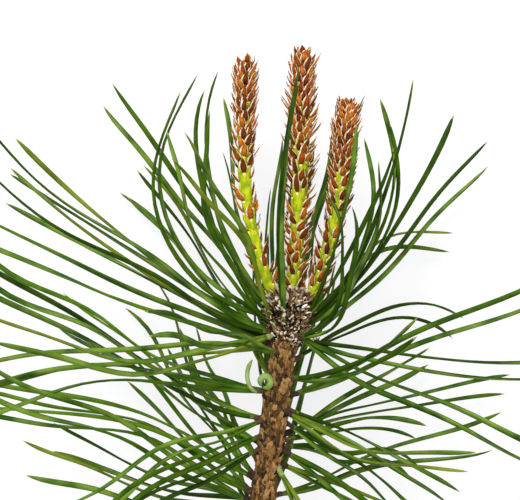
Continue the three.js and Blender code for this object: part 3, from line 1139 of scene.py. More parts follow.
@dataclass
class NeedleRule:
    """Grows the pairs as the source of the solids does: the same draws, turns and clearances."""

    # Roots, clearances and turns
    root_radius: float = 2.8
    margin_along: float = 1.5
    margin_around: float = 30.0
    splay: float = 1.2
    offset: float = 0.75
    clearance: float = 1.9
    sister_clearance: float = 1.5
    sister_start: int = 2
    stride: int = 2
    floor_ease: float = 16.0
    turns: tuple[float, ...] = (0, 5, -5, 10, -10, 15, -15)
    # The pairs of the far side and round the foot
    fill_count: int = 76
    fill_span: Span = (14, 67)
    rise: Span = (8, 46)
    rise_on_top: Span = (-30, -10)
    rise_under: Span = (34, 62)
    bend: Span = (-16, 26)
    wave: Span = (-5, 5)
    length: Span = (56, 72)
    spread: Span = (4, 10)
    hidden: Span = (212, 328)
    all_round_below: float = 22.0
    droop: float = 40.0
    droop_span: float = 13.0
    uneven: Span = (0.005, 0.03)

    def planned(self) -> list[Pair]:
        """Lists the pairs before it is known which of them have room.

        Returns:
            The pairs that the near side shows, and after them those of the far side.
        """
        draw = Draw(SEED)
        pairs = [Pair(*row, mix(self.uneven, draw.chance())) for row in NEAR_PAIRS]
        for index in range(self.fill_count):
            along = mix(self.fill_span, index / (self.fill_count - 1))
            around = (index * GOLDEN_ANGLE) % 360.0
            sector = sector_of(around)
            rises = {"top": self.rise_on_top, "under": self.rise_under}.get(sector, self.rise)
            rise = mix(rises, draw.chance())
            if sector in ("left", "right"):
                rise -= self.droop * max(0.0, 1.0 - (along - self.fill_span[0]) / self.droop_span)
            bend = mix(self.bend, draw.chance())
            wave = mix(self.wave, draw.chance())
            length = mix(self.length, draw.chance())
            spread = mix(self.spread, draw.chance())
            uneven = mix(self.uneven, draw.chance())
            if self.hidden[0] < around < self.hidden[1] or along < self.all_round_below:
                pairs.append(Pair(along, around, rise, bend, 1, wave, length, spread, uneven))
        return pairs

    def root(self, pair: Pair) -> np.ndarray:
        """Finds where a pair's root is, kept inside its own strip of bark.

        Args:
            pair: The pair.

        Returns:
            The root.
        """
        low, high = TIERS[pair.tier]
        middle = SECTORS[sector_of(pair.around)]
        along = min(max(pair.along, low + self.margin_along), high - self.margin_along)
        turn = (pair.around - middle + 180.0) % 360.0 - 180.0
        around = middle + min(max(turn, -self.margin_around), self.margin_around)
        return axis_point(along) + outward(around) * self.root_radius

    def path(self, pair: Pair, side: int) -> np.ndarray:
        """Bends one needle of a pair on its way out.

        Args:
            pair: The pair.
            side: -1 or 1, for the two needles.

        Returns:
            Its points from root to tip.
        """
        start = pair.rise + side * self.splay
        bend = pair.bend + side * pair.spread / 2.0
        step = pair.length * (1.0 + side * pair.uneven) / PATH_STEPS
        launch = math.radians(start)
        beside = outward(pair.around + 90.0) * math.sin(launch) + TANGENT * math.cos(launch)
        point = self.root(pair) + beside * side * self.offset
        points = [point]
        for index in range(PATH_STEPS):
            u = (index + 0.5) / PATH_STEPS
            wave = pair.wave * math.sin(2.0 * math.pi * u)
            angle = math.radians(start + bend * u**pair.late + wave)
            way = outward(pair.around + side * self.splay * u) * math.cos(angle) + TANGENT * math.sin(angle)
            if way[2] < 0.0:
                way[2] *= ease((point[2] - NEEDLE_WIDTH / 2.0) / self.floor_ease)
                way = unit(way)
            point = point + way * step
            points.append(point)
        return np.array(points)

    def grown(self, obstacles: Sequence[Obstacle]) -> list[Shoot]:
        """Keeps each pair that finds room after a few small turns.

        Args:
            obstacles: Stretches that needles keep clear of, with the room of each.

        Returns:
            The pairs that grow.
        """
        shoots: list[Shoot] = []
        taken: dict[str, list[np.ndarray]] = {}
        for planned in self.planned():
            for turn in self.turns:
                pair = replace(planned, around=planned.around + turn)
                paths = (self.path(pair, -1), self.path(pair, 1))
                tested = [path[:: self.stride] for path in paths]
                if pair.node == planned.node and self._has_room(pair, tested, obstacles, taken):
                    shoots.append(Shoot(pair, paths))
                    taken.setdefault(pair.node, []).extend(tested)
                    break
        return shoots

    def _has_room(
        self,
        pair: Pair,
        tested: Sequence[np.ndarray],
        obstacles: Sequence[Obstacle],
        taken: dict[str, list[np.ndarray]],
    ) -> bool:
        """Says whether a pair keeps clear of the obstacles and of the needles before it.

        Args:
            pair: The pair.
            tested: The paths of its two needles, in fewer points.
            obstacles: Stretches that needles keep clear of, with the room of each.
            taken: The paths that have grown so far, by the node that they belong to.

        Returns:
            Whether it has room.
        """
        groups = [(0, spans, rooms) for spans, rooms in obstacles]
        for node, paths in taken.items():
            is_sister = node == pair.node
            start = self.sister_start if is_sister else 0
            room = self.sister_clearance if is_sister else self.clearance
            spans = np.concatenate([stretches(path[start:]) for path in paths])
            groups.append((start, spans, np.full(len(spans), room)))
        for start, spans, rooms in groups:
            for path in tested:
                if (least_gaps(path[start:], spans) < rooms).any():
                    return False
        return True


# Needles


class SweepTree(GeometryTree):
    """Sweeps a half-round section along each strand, as a pine needle is shaped."""

    ARC_POINTS = 5

    def __init__(self) -> None:
        """Builds the tree, with a material input for each tint, the flat side, the neck and the tip."""
        labels = [member.name for member in NeedleTint] + ["Flat", "Neck", "Tip"]
        sizes = {"Width": "NodeSocketFloat", "Thickness": "NodeSocketFloat"}
        super().__init__("needle_sweep", {**sizes, **{label: "NodeSocketMaterial" for label in labels}})
        strands = self.node("GeometryNodeMeshToCurve", None, {0: self.given("Geometry")})
        faced = self.node(
            "GeometryNodeSetCurveNormal",
            {"mode": "FREE"},
            {"Curve": strands.outputs[0], "Normal": self.attribute("facing", "FLOAT_VECTOR")},
        )
        swept = self.node(
            "GeometryNodeCurveToMesh",
            None,
            {
                "Curve": faced.outputs[0],
                "Profile Curve": self._section(),
                "Scale": self.attribute("girth"),
                "Fill Caps": True,
            },
        )
        geometry = self.node("GeometryNodeRealizeInstances", None, {0: swept.outputs[0]}).outputs[0]
        for number, member in enumerate(NeedleTint):
            geometry = self.paint(geometry, self.near(self.attribute("tint"), number), member.name)
        for label in ("Flat", "Neck", "Tip"):
            geometry = self.paint(geometry, self.near(self.attribute(label.lower()), 1.0), label)
        self.close(geometry)

    def _section(self) -> Socket:
        """Makes the closed half circle of the named width and thickness, with its flat side marked.

        Returns:
            The socket with the section.
        """
        arc = self.node(
            "GeometryNodeCurveArc",
            {"mode": "RADIUS"},
            {"Resolution": self.ARC_POINTS, "Radius": 0.5, "Sweep Angle": math.pi},
        )
        cyclic = {"Geometry": arc.outputs[0], "Cyclic": True}
        closed = self.node("GeometryNodeSetSplineCyclic", None, cyclic)
        factors = {0: self.given("Thickness"), 1: 2.0}
        doubled = self.node("ShaderNodeMath", {"operation": "MULTIPLY"}, factors)
        scales = {"X": self.given("Width"), "Y": doubled.outputs[0], "Z": 1.0}
        size = self.node("ShaderNodeCombineXYZ", None, scales)
        scaled = {"Geometry": closed.outputs[0], "Scale": size.outputs[0]}
        section = self.node("GeometryNodeTransform", None, scaled)
        ends = self.node("GeometryNodeCurveEndpointSelection", None, {"Start Size": 1, "End Size": 1})
        marked = self.node(
            "GeometryNodeStoreNamedAttribute",
            {"data_type": "FLOAT", "domain": "POINT"},
            {"Geometry": section.outputs[0], "Selection": ends.outputs[0], "Name": "flat", "Value": 1.0},
        )
        return marked.outputs[0]


@dataclass
class Strand:
    """The middle line of one needle, with what its section does along it."""

    points: np.ndarray
    facing: np.ndarray
    girth: np.ndarray
    tint: int
    neck: np.ndarray
    tip: np.ndarray


@dataclass(frozen=True)
class Sway:
    """The slight waves of a pair of needles about the path that the rule gives it."""

    size: float
    waves: float
    phase: float
    turn: float
    onset: float = 2.5

    @classmethod
    def drawn(cls, draw: Draw, sizes: Span, waves: Span) -> "Sway":
        """Draws the waves of one pair.

        Args:
            draw: The chances.
            sizes: The least and the largest swing, in mm.
            waves: The least and the largest number of waves on a needle.

        Returns:
            The waves.
        """
        size = draw.between(*sizes)
        count = draw.between(*waves)
        return cls(size, count, draw.between(0.0, 2.0 * math.pi), draw.between(0.0, 2.0 * math.pi))

    def shift(self, aside: np.ndarray, forward: np.ndarray, share: float) -> np.ndarray:
        """Works out how far a point is off the path.

        Args:
            aside: A direction square to the path.
            forward: The direction of the path.
            share: How far along the needle the point is, from 0 to 1.

        Returns:
            The shift, which starts at none at the root.
        """
        swing = math.sin(self.phase + 2.0 * math.pi * self.waves * share) - math.sin(self.phase)
        return turned(aside, forward, self.turn) * self.size * swing * ease(share * self.onset)


@dataclass
class NeedleTier:
    """The needles of one tier of the stem, as one piece."""

    tier: str
    shoots: Sequence[Shoot]
    draw: Draw
    sway_draw: Draw
    # The section
    width: float = 1.24
    thickness: float = 0.58
    lowest: float = 0.74
    fullness: Span = (0.9, 1.18)
    fullness_under: Span = (0.74, 0.92)
    # How the two needles part, and the stretches of each
    closed_offset: float = 0.05
    opened_by: float = 16.0
    neck_waist: float = 1.2
    neck_length: float = 3.0
    foot_length: float = 6.0
    point_length: float = 4.2
    point_waist: float = 2.2
    tip_length: float = 1.1
    body_sections: int = 17
    # How a needle tapers
    foot_girth: float = 0.72
    foot_taper: float = 9.0
    tip_girth: float = 0.05
    tip_taper: float = 5.0
    tip_fullness: float = 0.6
    mark_slack: float = 0.01
    # How it turns and waves
    twist: Span = (80.0, 240.0)
    roll: float = 35.0
    sway: Span = (0.4, 1.3)
    sway_waves: Span = (1.0, 2.0)

    def stations(self, length: float) -> list[float]:
        """Lists where the sections of a needle are.

        Args:
            length: The needle's length.

        Returns:
            Their distances from the root.
        """
        foot = [0.0, self.neck_waist, self.neck_length, self.foot_length]
        point = [length - left for left in (self.point_length, self.point_waist, self.tip_length, 0.0)]
        span = (self.foot_length, length - self.point_length)
        body = [mix(span, step / (self.body_sections + 1)) for step in range(1, self.body_sections + 1)]
        return foot + body + point

    def girth_at(self, distance: float, length: float) -> float:
        """Tapers a needle towards its foot and its tip.

        Args:
            distance: How far from the root, in mm.
            length: The needle's length.

        Returns:
            The share of the full width there.
        """
        foot = mix((self.foot_girth, 1.0), ease(distance / self.foot_taper))
        left = min(1.0, (length - distance) / self.tip_taper)
        return foot * mix((self.tip_girth, 1.0), left**self.tip_fullness)

    def strand(self, shoot: Shoot, side: int, tint_number: int, sway: Sway) -> Strand:
        """Lays out one needle, closed against its sister at the foot.

        Args:
            shoot: The pair.
            side: -1 or 1.
            tint_number: The number of the pair's green.
            sway: The waves that the two needles share.

        Returns:
            The strand.
        """
        path = shoot.paths[0 if side < 0 else 1]
        length = float(np.linalg.norm(np.diff(path, axis=0), axis=1).sum())
        beside = shoot.pair.beside() * side
        closing = NeedleRule.offset - self.closed_offset
        twist = math.radians(self.draw.between(*self.twist)) * (1.0 if self.draw.chance() < 0.5 else -1.0)
        roll = math.radians(self.draw.between(-self.roll, self.roll))
        is_under = sector_of(shoot.pair.around) == "under"
        fullness = self.draw.between(*(self.fullness_under if is_under else self.fullness))
        facing = beside
        points, facings, girths, necks, tips = [], [], [], [], []
        for distance in self.stations(length):
            share = distance / length
            forward = forward_at(path, share)
            facing = unit(facing - forward * np.dot(facing, forward))
            opened = ease(distance / self.opened_by)
            point = point_at(path, share) - beside * closing * (1.0 - opened)
            point = point + sway.shift(facing * side, forward, share)
            point[2] = max(point[2], self.lowest - SHIFT[2])
            points.append(point)
            facings.append(turned(facing, forward, roll * opened + twist * share))
            girths.append(self.girth_at(distance, length) * fullness)
            necks.append(float(distance <= self.neck_length + self.mark_slack))
            tips.append(float(distance >= length - self.tip_length - self.mark_slack))
        girth, neck, tip = (np.array(values) for values in (girths, necks, tips))
        return Strand(np.array(points), np.array(facings), girth, tint_number, neck, tip)

    def build(
        self,
        tree: SweepTree,
        materials: dict[str, Material],
        extra: Sequence[Strand] = (),
    ) -> Object:
        """Sweeps all needles of the tier.

        Args:
            tree: The tree that sweeps a section along strands.
            materials: The material for each input of the tree.
            extra: Further strands that belong to the tier.

        Returns:
            The finished piece.
        """
        strands = list(extra)
        for shoot in self.shoots:
            number = self.draw.pick(NEEDLE_SHARES)
            sway = Sway.drawn(self.sway_draw, self.sway, self.sway_waves)
            strands.extend(self.strand(shoot, side, number, sway) for side in (-1, 1))
        carrier = self._carrier(strands)
        tree.grow(carrier, {"Width": self.width * MM, "Thickness": self.thickness * MM, **materials})
        return adopt(carrier, sorted(f"needles_{self.tier}_{sector}" for sector in SECTORS))

    def _carrier(self, strands: Sequence[Strand]) -> Object:
        """Makes the middle lines one object of edges.

        Args:
            strands: The strands of all needles.

        Returns:
            The object, with what the sections do as attributes of its points.
        """
        points = in_frame(np.concatenate([strand.points for strand in strands]))
        edges = []
        start = 0
        for strand in strands:
            count = len(strand.points)
            edges.extend((start + i, start + i + 1) for i in range(count - 1))
            start += count
        mesh = bpy.data.meshes.new(f"pine_needles_{self.tier}")
        mesh.from_pydata([tuple(point) for point in points], edges, [])
        facings = np.concatenate([strand.facing for strand in strands])
        facing = mesh.attributes.new("facing", "FLOAT_VECTOR", "POINT")
        facing.data.foreach_set("vector", facings.astype(np.float32).ravel())
        rows = {
            "girth": [strand.girth for strand in strands],
            "tint": [np.full(len(strand.points), strand.tint) for strand in strands],
            "neck": [strand.neck for strand in strands],
            "tip": [strand.tip for strand in strands],
        }
        for name, values in rows.items():
            attribute = mesh.attributes.new(name, "FLOAT", "POINT")
            attribute.data.foreach_set("value", np.concatenate(values).astype(np.float32))
        return link(bpy.data.objects.new(mesh.name, mesh))


@dataclass
class CurledNeedles:
    """Two short needles that have curled up beside the stem."""

    ring_along: float = 52.6
    ring_aside: float = -3.3
    ring_radius: tuple[float, float] = (1.25, 1.375)
    ring_turn: Span = (-110.0, 235.0)
    ring_girth: float = 1.25
    hook_along: float = 54.4
    hook_aside: float = -4.6
    hook_radius: tuple[float, float] = (3.3, 4.6)
    hook_turn: Span = (140.0, 262.0)
    hook_girth: float = 0.85
    height: float = 3.0
    drop: float = -0.9
    end_girth: float = 0.35
    end_taper: float = 4.0
    steps: int = 18

    def arc(
        self, along: float, aside: float, radii: tuple[float, float], turn: Span, girth: float
    ) -> Strand:
        """Lays out a needle along an oval arc above the stem.

        Args:
            along: Where the arc's middle is along the stem.
            aside: How far to the right of the stem it is.
            radii: The arc's radius across and along the stem.
            turn: Where it starts and ends, in degrees from the right.
            girth: The share of the full width.

        Returns:
            The strand.
        """
        middle = axis_point(along) + RIGHT * aside + UP * self.height
        shares = [step / self.steps for step in range(self.steps + 1)]
        turns = [math.radians(mix(turn, share)) for share in shares]
        facing = np.array([-RIGHT * math.cos(t) - TANGENT * math.sin(t) for t in turns])
        wide, long = radii
        across = np.array([RIGHT * wide * math.cos(t) + TANGENT * long * math.sin(t) for t in turns])
        drops = np.array([UP * mix((0.0, self.drop), share) for share in shares])
        from_end = [min(share, 1.0 - share) for share in shares]
        girths = np.array([girth * min(1.0, self.end_girth + self.end_taper * left) for left in from_end])
        unmarked = np.zeros(len(turns))
        pale = list(NeedleTint).index(NeedleTint.PALE)
        return Strand(middle + across + drops, facing, girths, pale, unmarked, unmarked)

    def strands(self) -> list[Strand]:
        """Lays out both needles.

        Returns:
            The ring and the open hook beside it.
        """
        ring = self.arc(self.ring_along, self.ring_aside, self.ring_radius, self.ring_turn, self.ring_girth)
        hook = self.arc(self.hook_along, self.hook_aside, self.hook_radius, self.hook_turn, self.hook_girth)
        return [ring, hook]


@dataclass
class ShortShoots:
    """The woody pegs that the needle pairs stand on, and the papery sheaths that some keep."""

    shoots: Sequence[Shoot]
    rule: NeedleRule
    draw: Draw
    sides: int = 8
    shares: Triple = (0.5, 0.36, 0.14)
    width: Span = (0.7, 0.95)
    length: Span = (0.7, 1.2)
    heights: tuple[float, ...] = (0.0, 0.6, 1.3, 1.9, 2.3, 2.35)
    radii: tuple[float, ...] = (0.85, 0.9, 0.74, 0.8, 0.7, 0.3)

    def shape(self) -> Object:
        """Makes one peg, 1 mm to the unit, pointing along Y.

        Returns:
            The peg.
        """
        forward = np.array([0.0, 1.0, 0.0])
        first = np.array([1.0, 0.0, 0.0])
        rings = []
        for height, radius in zip(self.heights, self.radii):
            rings.append(ring_round(forward * height, forward, first, (radius, radius), self.sides))
        shell = Shell()
        shell.add_rings(rings, [0] * (len(rings) - 1))
        return shell.to_object("short_shoot_shape")

    def build(self) -> Object:
        """Puts a peg or a sheath at each root.

        Returns:
            The finished piece.
        """
        spots = Sprinkle()
        for shoot in self.shoots:
            pair = shoot.pair
            tone = self.draw.pick(self.shares)
            width = self.draw.between(*self.width)
            length = self.draw.between(*self.length)
            spots.add(self.rule.root(pair), pair.launch(), pair.beside(), (width, length, width), tone)
        tones = built(PegTone)
        tree = ScatterTree("short_shoot_scatter", list(tones), {})
        shape = self.shape()
        piece = tree.grow(spots.to_object("short_shoots"), {"Shape": shape, "Size": 1.0, **tones})
        bpy.data.objects.remove(shape)
        return adopt(piece, sorted({shoot.pair.node for shoot in self.shoots}))


@dataclass
class Stem:
    """The bark with its relief, from the cut to the bud, and the wood of the cut."""

    shoots: Sequence[Shoot]
    radius: float = STEM_RADIUS
    # The bark's skin and its plates
    sunk: float = 0.12
    relief: float = 0.75
    mean_height: float = 0.55
    plate_width: float = 1.25
    plate_length: float = 2.1
    plate_height: float = 0.42
    plate_own: float = 0.2
    plate_lift: float = 0.3
    crack: float = 0.14
    crack_height: float = 0.35
    plate_seed: float = 7.0
    roughness: float = 0.42
    rough_scale: float = 2.4
    rough_layers: int = 4
    rough_fall: float = 1.0
    rough_step: float = 2.0
    warp: float = 0.6
    warp_scale: float = 0.9
    warp_offsets: tuple[Triple, ...] = ((9.3, 0, 0), (0, 17.1, 0), (0, 0, 31.7))
    # The swellings under the needle pairs
    cushion_height: float = 0.35
    cushion_most: float = 0.5
    cushion_below: float = 0.8
    cushion_length: float = 1.1
    cushion_turn: float = 0.3
    cushion_reach: float = 3.0
    # The mesh
    around: int = 96
    along: int = 300
    top: float = 70.5

    def relief_at(self, along: float, angle: float) -> tuple[float, float]:
        """Works out the height of the bark.

        Args:
            along: How far from the cut, in mm.
            angle: Radians round the stem.

        Returns:
            The height and a number that each plate has of its own, both from 0 to 1.
        """
        place = Vector(
            (
                self.radius * math.cos(angle) / self.plate_width,
                self.radius * math.sin(angle) / self.plate_width,
                along / self.plate_length,
            )
        )
        shifted = [place * self.warp_scale + Vector(offset) for offset in self.warp_offsets]
        warp = Vector([noise.noise(point) for point in shifted]) * self.warp
        distances, centres = noise.voronoi(place + warp)
        inside = min(1.0, (distances[1] - distances[0]) / self.crack)
        plate = noise.cell(centres[0] * self.plate_seed)
        lifted = min(max(0.5 + place.z + warp.z - centres[0].z, 0.0), 1.0)
        finer = place * self.rough_scale
        rough = noise.fractal(finer, self.rough_fall, self.rough_step, self.rough_layers)
        height = self.plate_height + self.plate_own * plate + self.plate_lift * lifted
        height = mix((self.crack_height, 1.0), inside) * height + self.roughness * rough
        return min(max(height, 0.0), 1.0), plate

    def swell_at(self, along: float, angle: float, cushions: Sequence[tuple[float, float]]) -> float:
        """Works out how far the bark swells under the needle pairs.

        Args:
            along: How far from the cut, in mm.
            angle: Radians round the stem.
            cushions: Where the pairs stand, along in mm and around in radians.

        Returns:
            The height of all swellings there, in mm.
        """
        swell = 0.0
        for place, turn in cushions:
            if abs(place - along) < self.cushion_reach:
                off = (angle - turn + math.pi) % (2.0 * math.pi) - math.pi
                ahead = (along - place + self.cushion_below) / self.cushion_length
                swell += self.cushion_height * math.exp(-(ahead**2) - (off / self.cushion_turn) ** 2)
        return swell

    def skin(self) -> tuple[list[np.ndarray], dict[str, list[float]]]:
        """Lays the points of the bark in rings, the first in the plane of the cut.

        Returns:
            The points, and the numbers that the finish reads for each of them.
        """
        cushions = [(shoot.pair.along, math.radians(shoot.pair.around)) for shoot in self.shoots]
        points: list[np.ndarray] = []
        numbers: dict[str, list[float]] = {"relief": [], "plate": [], "scar": []}
        for row in range(self.along + 1):
            for side in range(self.around):
                angle = 2.0 * math.pi * side / self.around
                low = -self.radius * math.cos(angle) * RIGHT[1] / TANGENT[1]
                along = mix((low, self.top), row / self.along)
                height, plate = self.relief_at(along, angle)
                swell = self.swell_at(along, angle, cushions)
                bark = self.relief * (height - self.mean_height)
                radius = self.radius - self.sunk + bark + min(swell, self.cushion_most)
                point = axis_point(along) + outward(math.degrees(angle)) * radius
                if row == 0:
                    point[1] = 0.0
                points.append(point)
                numbers["relief"].append(height)
                numbers["plate"].append(plate)
                numbers["scar"].append(min(swell / self.cushion_height, 1.0))
        return points, numbers

    def faces(self) -> list[tuple[int, ...]]:
        """Lists the faces of the bark, and after them the upper end and the cut.

        Returns:
            The numbers of each face's points.
        """
        faces: list[tuple[int, ...]] = []
        for row in range(self.along):
            for side in range(self.around):
                here = row * self.around + side
                beside = row * self.around + (side + 1) % self.around
                faces.append((here, here + self.around, beside + self.around, beside))
        last = self.along * self.around
        faces.append(tuple(last + side for side in reversed(range(self.around))))
        faces.append(tuple(range(self.around)))
        return faces

    def build(self) -> Object:
        """Makes the stem's piece.

        Returns:
            The finished piece.
        """
        points, numbers = self.skin()
        faces = self.faces()
        mesh = bpy.data.meshes.new("stem_bark")
        mesh.from_pydata([tuple(point) for point in in_frame(np.array(points))], [], faces)
        for name, values in numbers.items():
            attribute = mesh.attributes.new(name, "FLOAT", "POINT")
            attribute.data.foreach_set("value", np.array(values, np.float32))
        mesh.materials.append(BarkFinish().build())
        mesh.materials.append(CutWoodFinish().build())
        mesh.polygons.foreach_set("use_smooth", [True] * (len(faces) - 2) + [False, False])
        mesh.polygons[len(faces) - 1].material_index = 1
        mesh.update()
        return adopt(link(bpy.data.objects.new("stem_bark", mesh)), ["woody_stem"])


# Candles and bud


Stations = Sequence[tuple[float, float, float, float]]


def add_blade(shell: Shell, stations: Stations, part: int = 0) -> None:
    """Adds a keeled blade to a shell, pointing along Y with its outer side up.

    Args:
        shell: The shell that it goes into.
        stations: How far along, the half width, the height and the shift to the side.
        part: The part number of its faces.
    """
    edge, keel_below, keel_above = 0.05, 0.2, 0.3
    rings = []
    for along, half, height, shift in stations:
        rings.append(
            [
                np.array([shift + half, along, height]),
                np.array([shift, along, height - edge - half * keel_below]),
                np.array([shift - half, along, height]),
                np.array([shift, along, height + edge + half * keel_above]),
            ]
        )
    shell.add_rings(rings, [part] * (len(rings) - 1))


@dataclass
class Candle:
    """One young shoot: a green core, cushions and rusty scales with white fringes."""

    name: str
    draw: Draw
    side: float
    length: float
    lean: Span
    lift: Span
    radius: Span
    reach: Span
    opening: float
    density: Span
    dense_from: float
    head: float
    frayed: float = 0.0
    # The middle line and the core
    steps: int = 8
    foot: float = 73.5
    lean_rate: float = 1.4
    reach_rate: float = 1.6
    thicker_from: float = 0.3
    thicker_rate: float = 1.6
    shoulder: float = 0.9
    head_taper: float = 0.88
    sides: int = 12
    core_steps: int = 40
    # Where the scales stand
    change_before: float = 0.3
    change_length: float = 0.4
    first_scale: float = 1.5
    scatter_turn: float = 12.0
    bare_above: float = 0.1
    bare_margin: float = 0.05
    bare_facing: float = 0.55
    # How far they open and how deep they sit
    closing: Span = (1.0, 0.7)
    closing_from: float = 0.8
    closing_rate: float = 8.0
    scatter_open: Span = (-9.0, 12.0)
    skew: float = 0.22
    sunk: float = 0.95
    crown_sunk: float = 0.3
    crown_length: float = 0.025
    # Their sizes and tones
    grown: Span = (1.0, 0.84)
    scale_length: Span = (0.8, 1.15)
    scale_width: Span = (0.85, 1.15)
    top_length: float = 0.06
    top_scale: float = 0.68
    frayed_from: float = 0.3
    frayed_scale: float = 1.5
    tone_shares: Triple = (0.26, 0.46, 0.28)
    # The cushions under them
    cushioned_to: float = 0.1
    cushion_back: float = 0.2

    def path(self) -> np.ndarray:
        """Leads the middle line upwards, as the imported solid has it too.

        Returns:
            Its points.
        """
        point = axis_point(self.foot) + RIGHT * self.side
        points = [point]
        for index in range(self.steps):
            u = (index + 0.5) / self.steps
            lean = math.radians(mix(self.lean, ease(u * self.lean_rate)))
            lift = math.radians(mix(self.lift, u))
            way = unit(np.array([math.sin(lean), math.cos(lean), math.sin(lift)]))
            point = point + way * self.length / self.steps
            points.append(point)
        return np.array(points)

    def obstacle(self) -> Obstacle:
        """Works out what needles keep clear of.

        Returns:
            The stretches of the candle and the room of each.
        """
        path = self.path()
        shares = [index / len(path) for index in range(len(path) - 1)]
        reaches = [mix(self.reach, ease(share * self.reach_rate)) for share in shares]
        return stretches(path), np.array([reach + NEEDLE_WIDTH / 2.0 + GAP for reach in reaches])

    def radius_at(self, share: float) -> float:
        """Gives the core its thickness.

        Args:
            share: How far up the candle, from 0 to 1.

        Returns:
            The radius in mm.
        """
        grown = mix(self.radius, ease((share - self.thicker_from) * self.thicker_rate))
        if share < self.shoulder:
            return grown
        return grown * mix((1.0, self.head_taper), (share - self.shoulder) / (self.head - self.shoulder))

    def headward(self, share: float) -> float:
        """Says how far the change from the bare foot to the close head has come."""
        return ease((share - self.dense_from + self.change_before) / self.change_length)

    def core(self, path: np.ndarray, green: Material, rust: Material) -> Object:
        """Makes the core, green below and rusty under the close scales of the head.

        Args:
            path: The candle's middle line.
            green: The finish of the bare lower part.
            rust: The finish under the head.

        Returns:
            The finished piece.
        """
        shell = Shell()
        shares = [self.head * step / self.core_steps for step in range(self.core_steps + 1)]
        rings = []
        for share in shares:
            forward = forward_at(path, share)
            first = unit(np.cross(UP, forward))
            radius = self.radius_at(share)
            rings.append(ring_round(point_at(path, share), forward, first, (radius, radius), self.sides))
        shell.add_rings(rings, [int(share > self.dense_from) for share in shares[1:]])
        shell.points = list(in_frame(np.array(shell.points)))
        piece = shell.to_object(f"{self.name}_core", scale=1.0)
        piece.data.materials.append(green)
        piece.data.materials.append(rust)
        piece.data.polygons.foreach_set("material_index", shell.parts)
        return adopt(piece, [self.name])

    def sprinkles(self, path: np.ndarray) -> tuple[Sprinkle, Sprinkle]:
        """Works out where the scales and the cushions under them go.

        Args:
            path: The candle's middle line.

        Returns:
            The places of the scales and of the cushions.
        """
        scales, cushions = Sprinkle(), Sprinkle()
        along = self.first_scale
        index = 0
        while along < self.length * self.head:
            share = along / self.length
            forward = forward_at(path, share)
            scatter = self.draw.between(-self.scatter_turn, self.scatter_turn)
            turn = math.radians(index * GOLDEN_ANGLE + scatter)
            normal = unit(np.cross(UP, forward)) * math.cos(turn) + UP * math.sin(turn)
            along += 1.0 / mix(self.density, self.headward(share))
            index += 1
            may_be_bare = share < self.dense_from - self.bare_margin and normal[2] > self.bare_facing
            if may_be_bare and self.draw.chance() < self.bare_above:
                continue
            aim = self.aim(share, forward, normal)
            is_crown = share > self.head - self.crown_length
            inward = self.draw.between(self.crown_sunk, self.sunk) if is_crown else self.sunk
            foot = point_at(path, share) + normal * self.radius_at(share) * inward
            size = self.scale_size(share)
            scales.add(foot, aim, normal, size, self.draw.pick(self.tone_shares))
            if share < self.dense_from + self.cushioned_to:
                cushions.add(foot - forward * self.cushion_back, forward, normal, size, tone=0.0)
        return scales, cushions

    def aim(self, share: float, forward: np.ndarray, normal: np.ndarray) -> np.ndarray:
        """Draws the direction that a scale points in.

        Args:
            share: How far up the candle it is, from 0 to 1.
            forward: The direction of the candle.
            normal: The direction out of the candle.

        Returns:
            The direction.
        """
        closing = mix(self.closing, ease((share - self.closing_from) * self.closing_rate))
        angle = math.radians(self.opening * closing + self.draw.between(*self.scatter_open))
        skew = self.draw.between(-self.skew, self.skew)
        return forward * math.cos(angle) + normal * math.sin(angle) + np.cross(forward, normal) * skew

    def scale_size(self, share: float) -> Triple:
        """Draws the size of a scale.

        Args:
            share: How far up the candle it is, from 0 to 1.

        Returns:
            Its scale across, along and through.
        """
        grown = mix(self.grown, self.headward(share))
        length = grown * self.draw.between(*self.scale_length)
        if share > self.head - self.top_length:
            length *= self.top_scale
        elif self.draw.chance() < self.frayed and share > self.frayed_from:
            length *= self.frayed_scale
        return grown * self.draw.between(*self.scale_width), length, 1.0

    def dress(
        self,
        shapes: dict[str, Object],
        trees: dict[str, GeometryTree],
        paints: dict[str, Material],
    ) -> None:
        """Builds the core, the cushions and the scales.

        Args:
            shapes: The small shapes, by name.
            trees: The scatter trees, by name.
            paints: The materials, by the inputs' names.
        """
        path = self.path()
        self.core(path, paints["Green"], paints["RUST"])
        for label, sprinkle in zip(("bract", "cushion"), self.sprinkles(path)):
            tree = trees[label]
            materials = {name: paints[name] for name in tree.identifiers if name in paints}
            values = {"Shape": shapes[label], "Size": 1.0, **materials}
            piece = tree.grow(sprinkle.to_object(f"{self.name}_{label}s"), values)
            adopt(piece, [self.name])


def bract_shape() -> Object:
    """Makes a rusty scale with a papery fringe on either side, 1 mm to the unit.

    Returns:
        The scale, with the fringes as part 1.
    """
    shell = Shell()
    base = ((0, 0.4, 0, 0), (0.7, 0.66, 0.26, 0), (1.6, 0.72, 0.42, 0))
    point = ((2.5, 0.56, 0.46, 0), (3.2, 0.3, 0.42, 0), (3.8, 0.04, 0.44, 0))
    left = (
        (0.5, 0.06, 0.16, -0.58),
        (1.4, 0.28, 0.28, -0.92),
        (2.4, 0.24, 0.42, -0.84),
        (3.4, 0.02, 0.54, -0.5),
    )
    right = (
        (0.4, 0.04, 0.16, 0.54),
        (1.2, 0.11, 0.26, 0.76),
        (2.1, 0.09, 0.4, 0.68),
        (3.0, 0.02, 0.5, 0.46),
    )
    add_blade(shell, base + point)
    add_blade(shell, left, 1)
    add_blade(shell, right, 1)
    return shell.to_object("bract_shape")


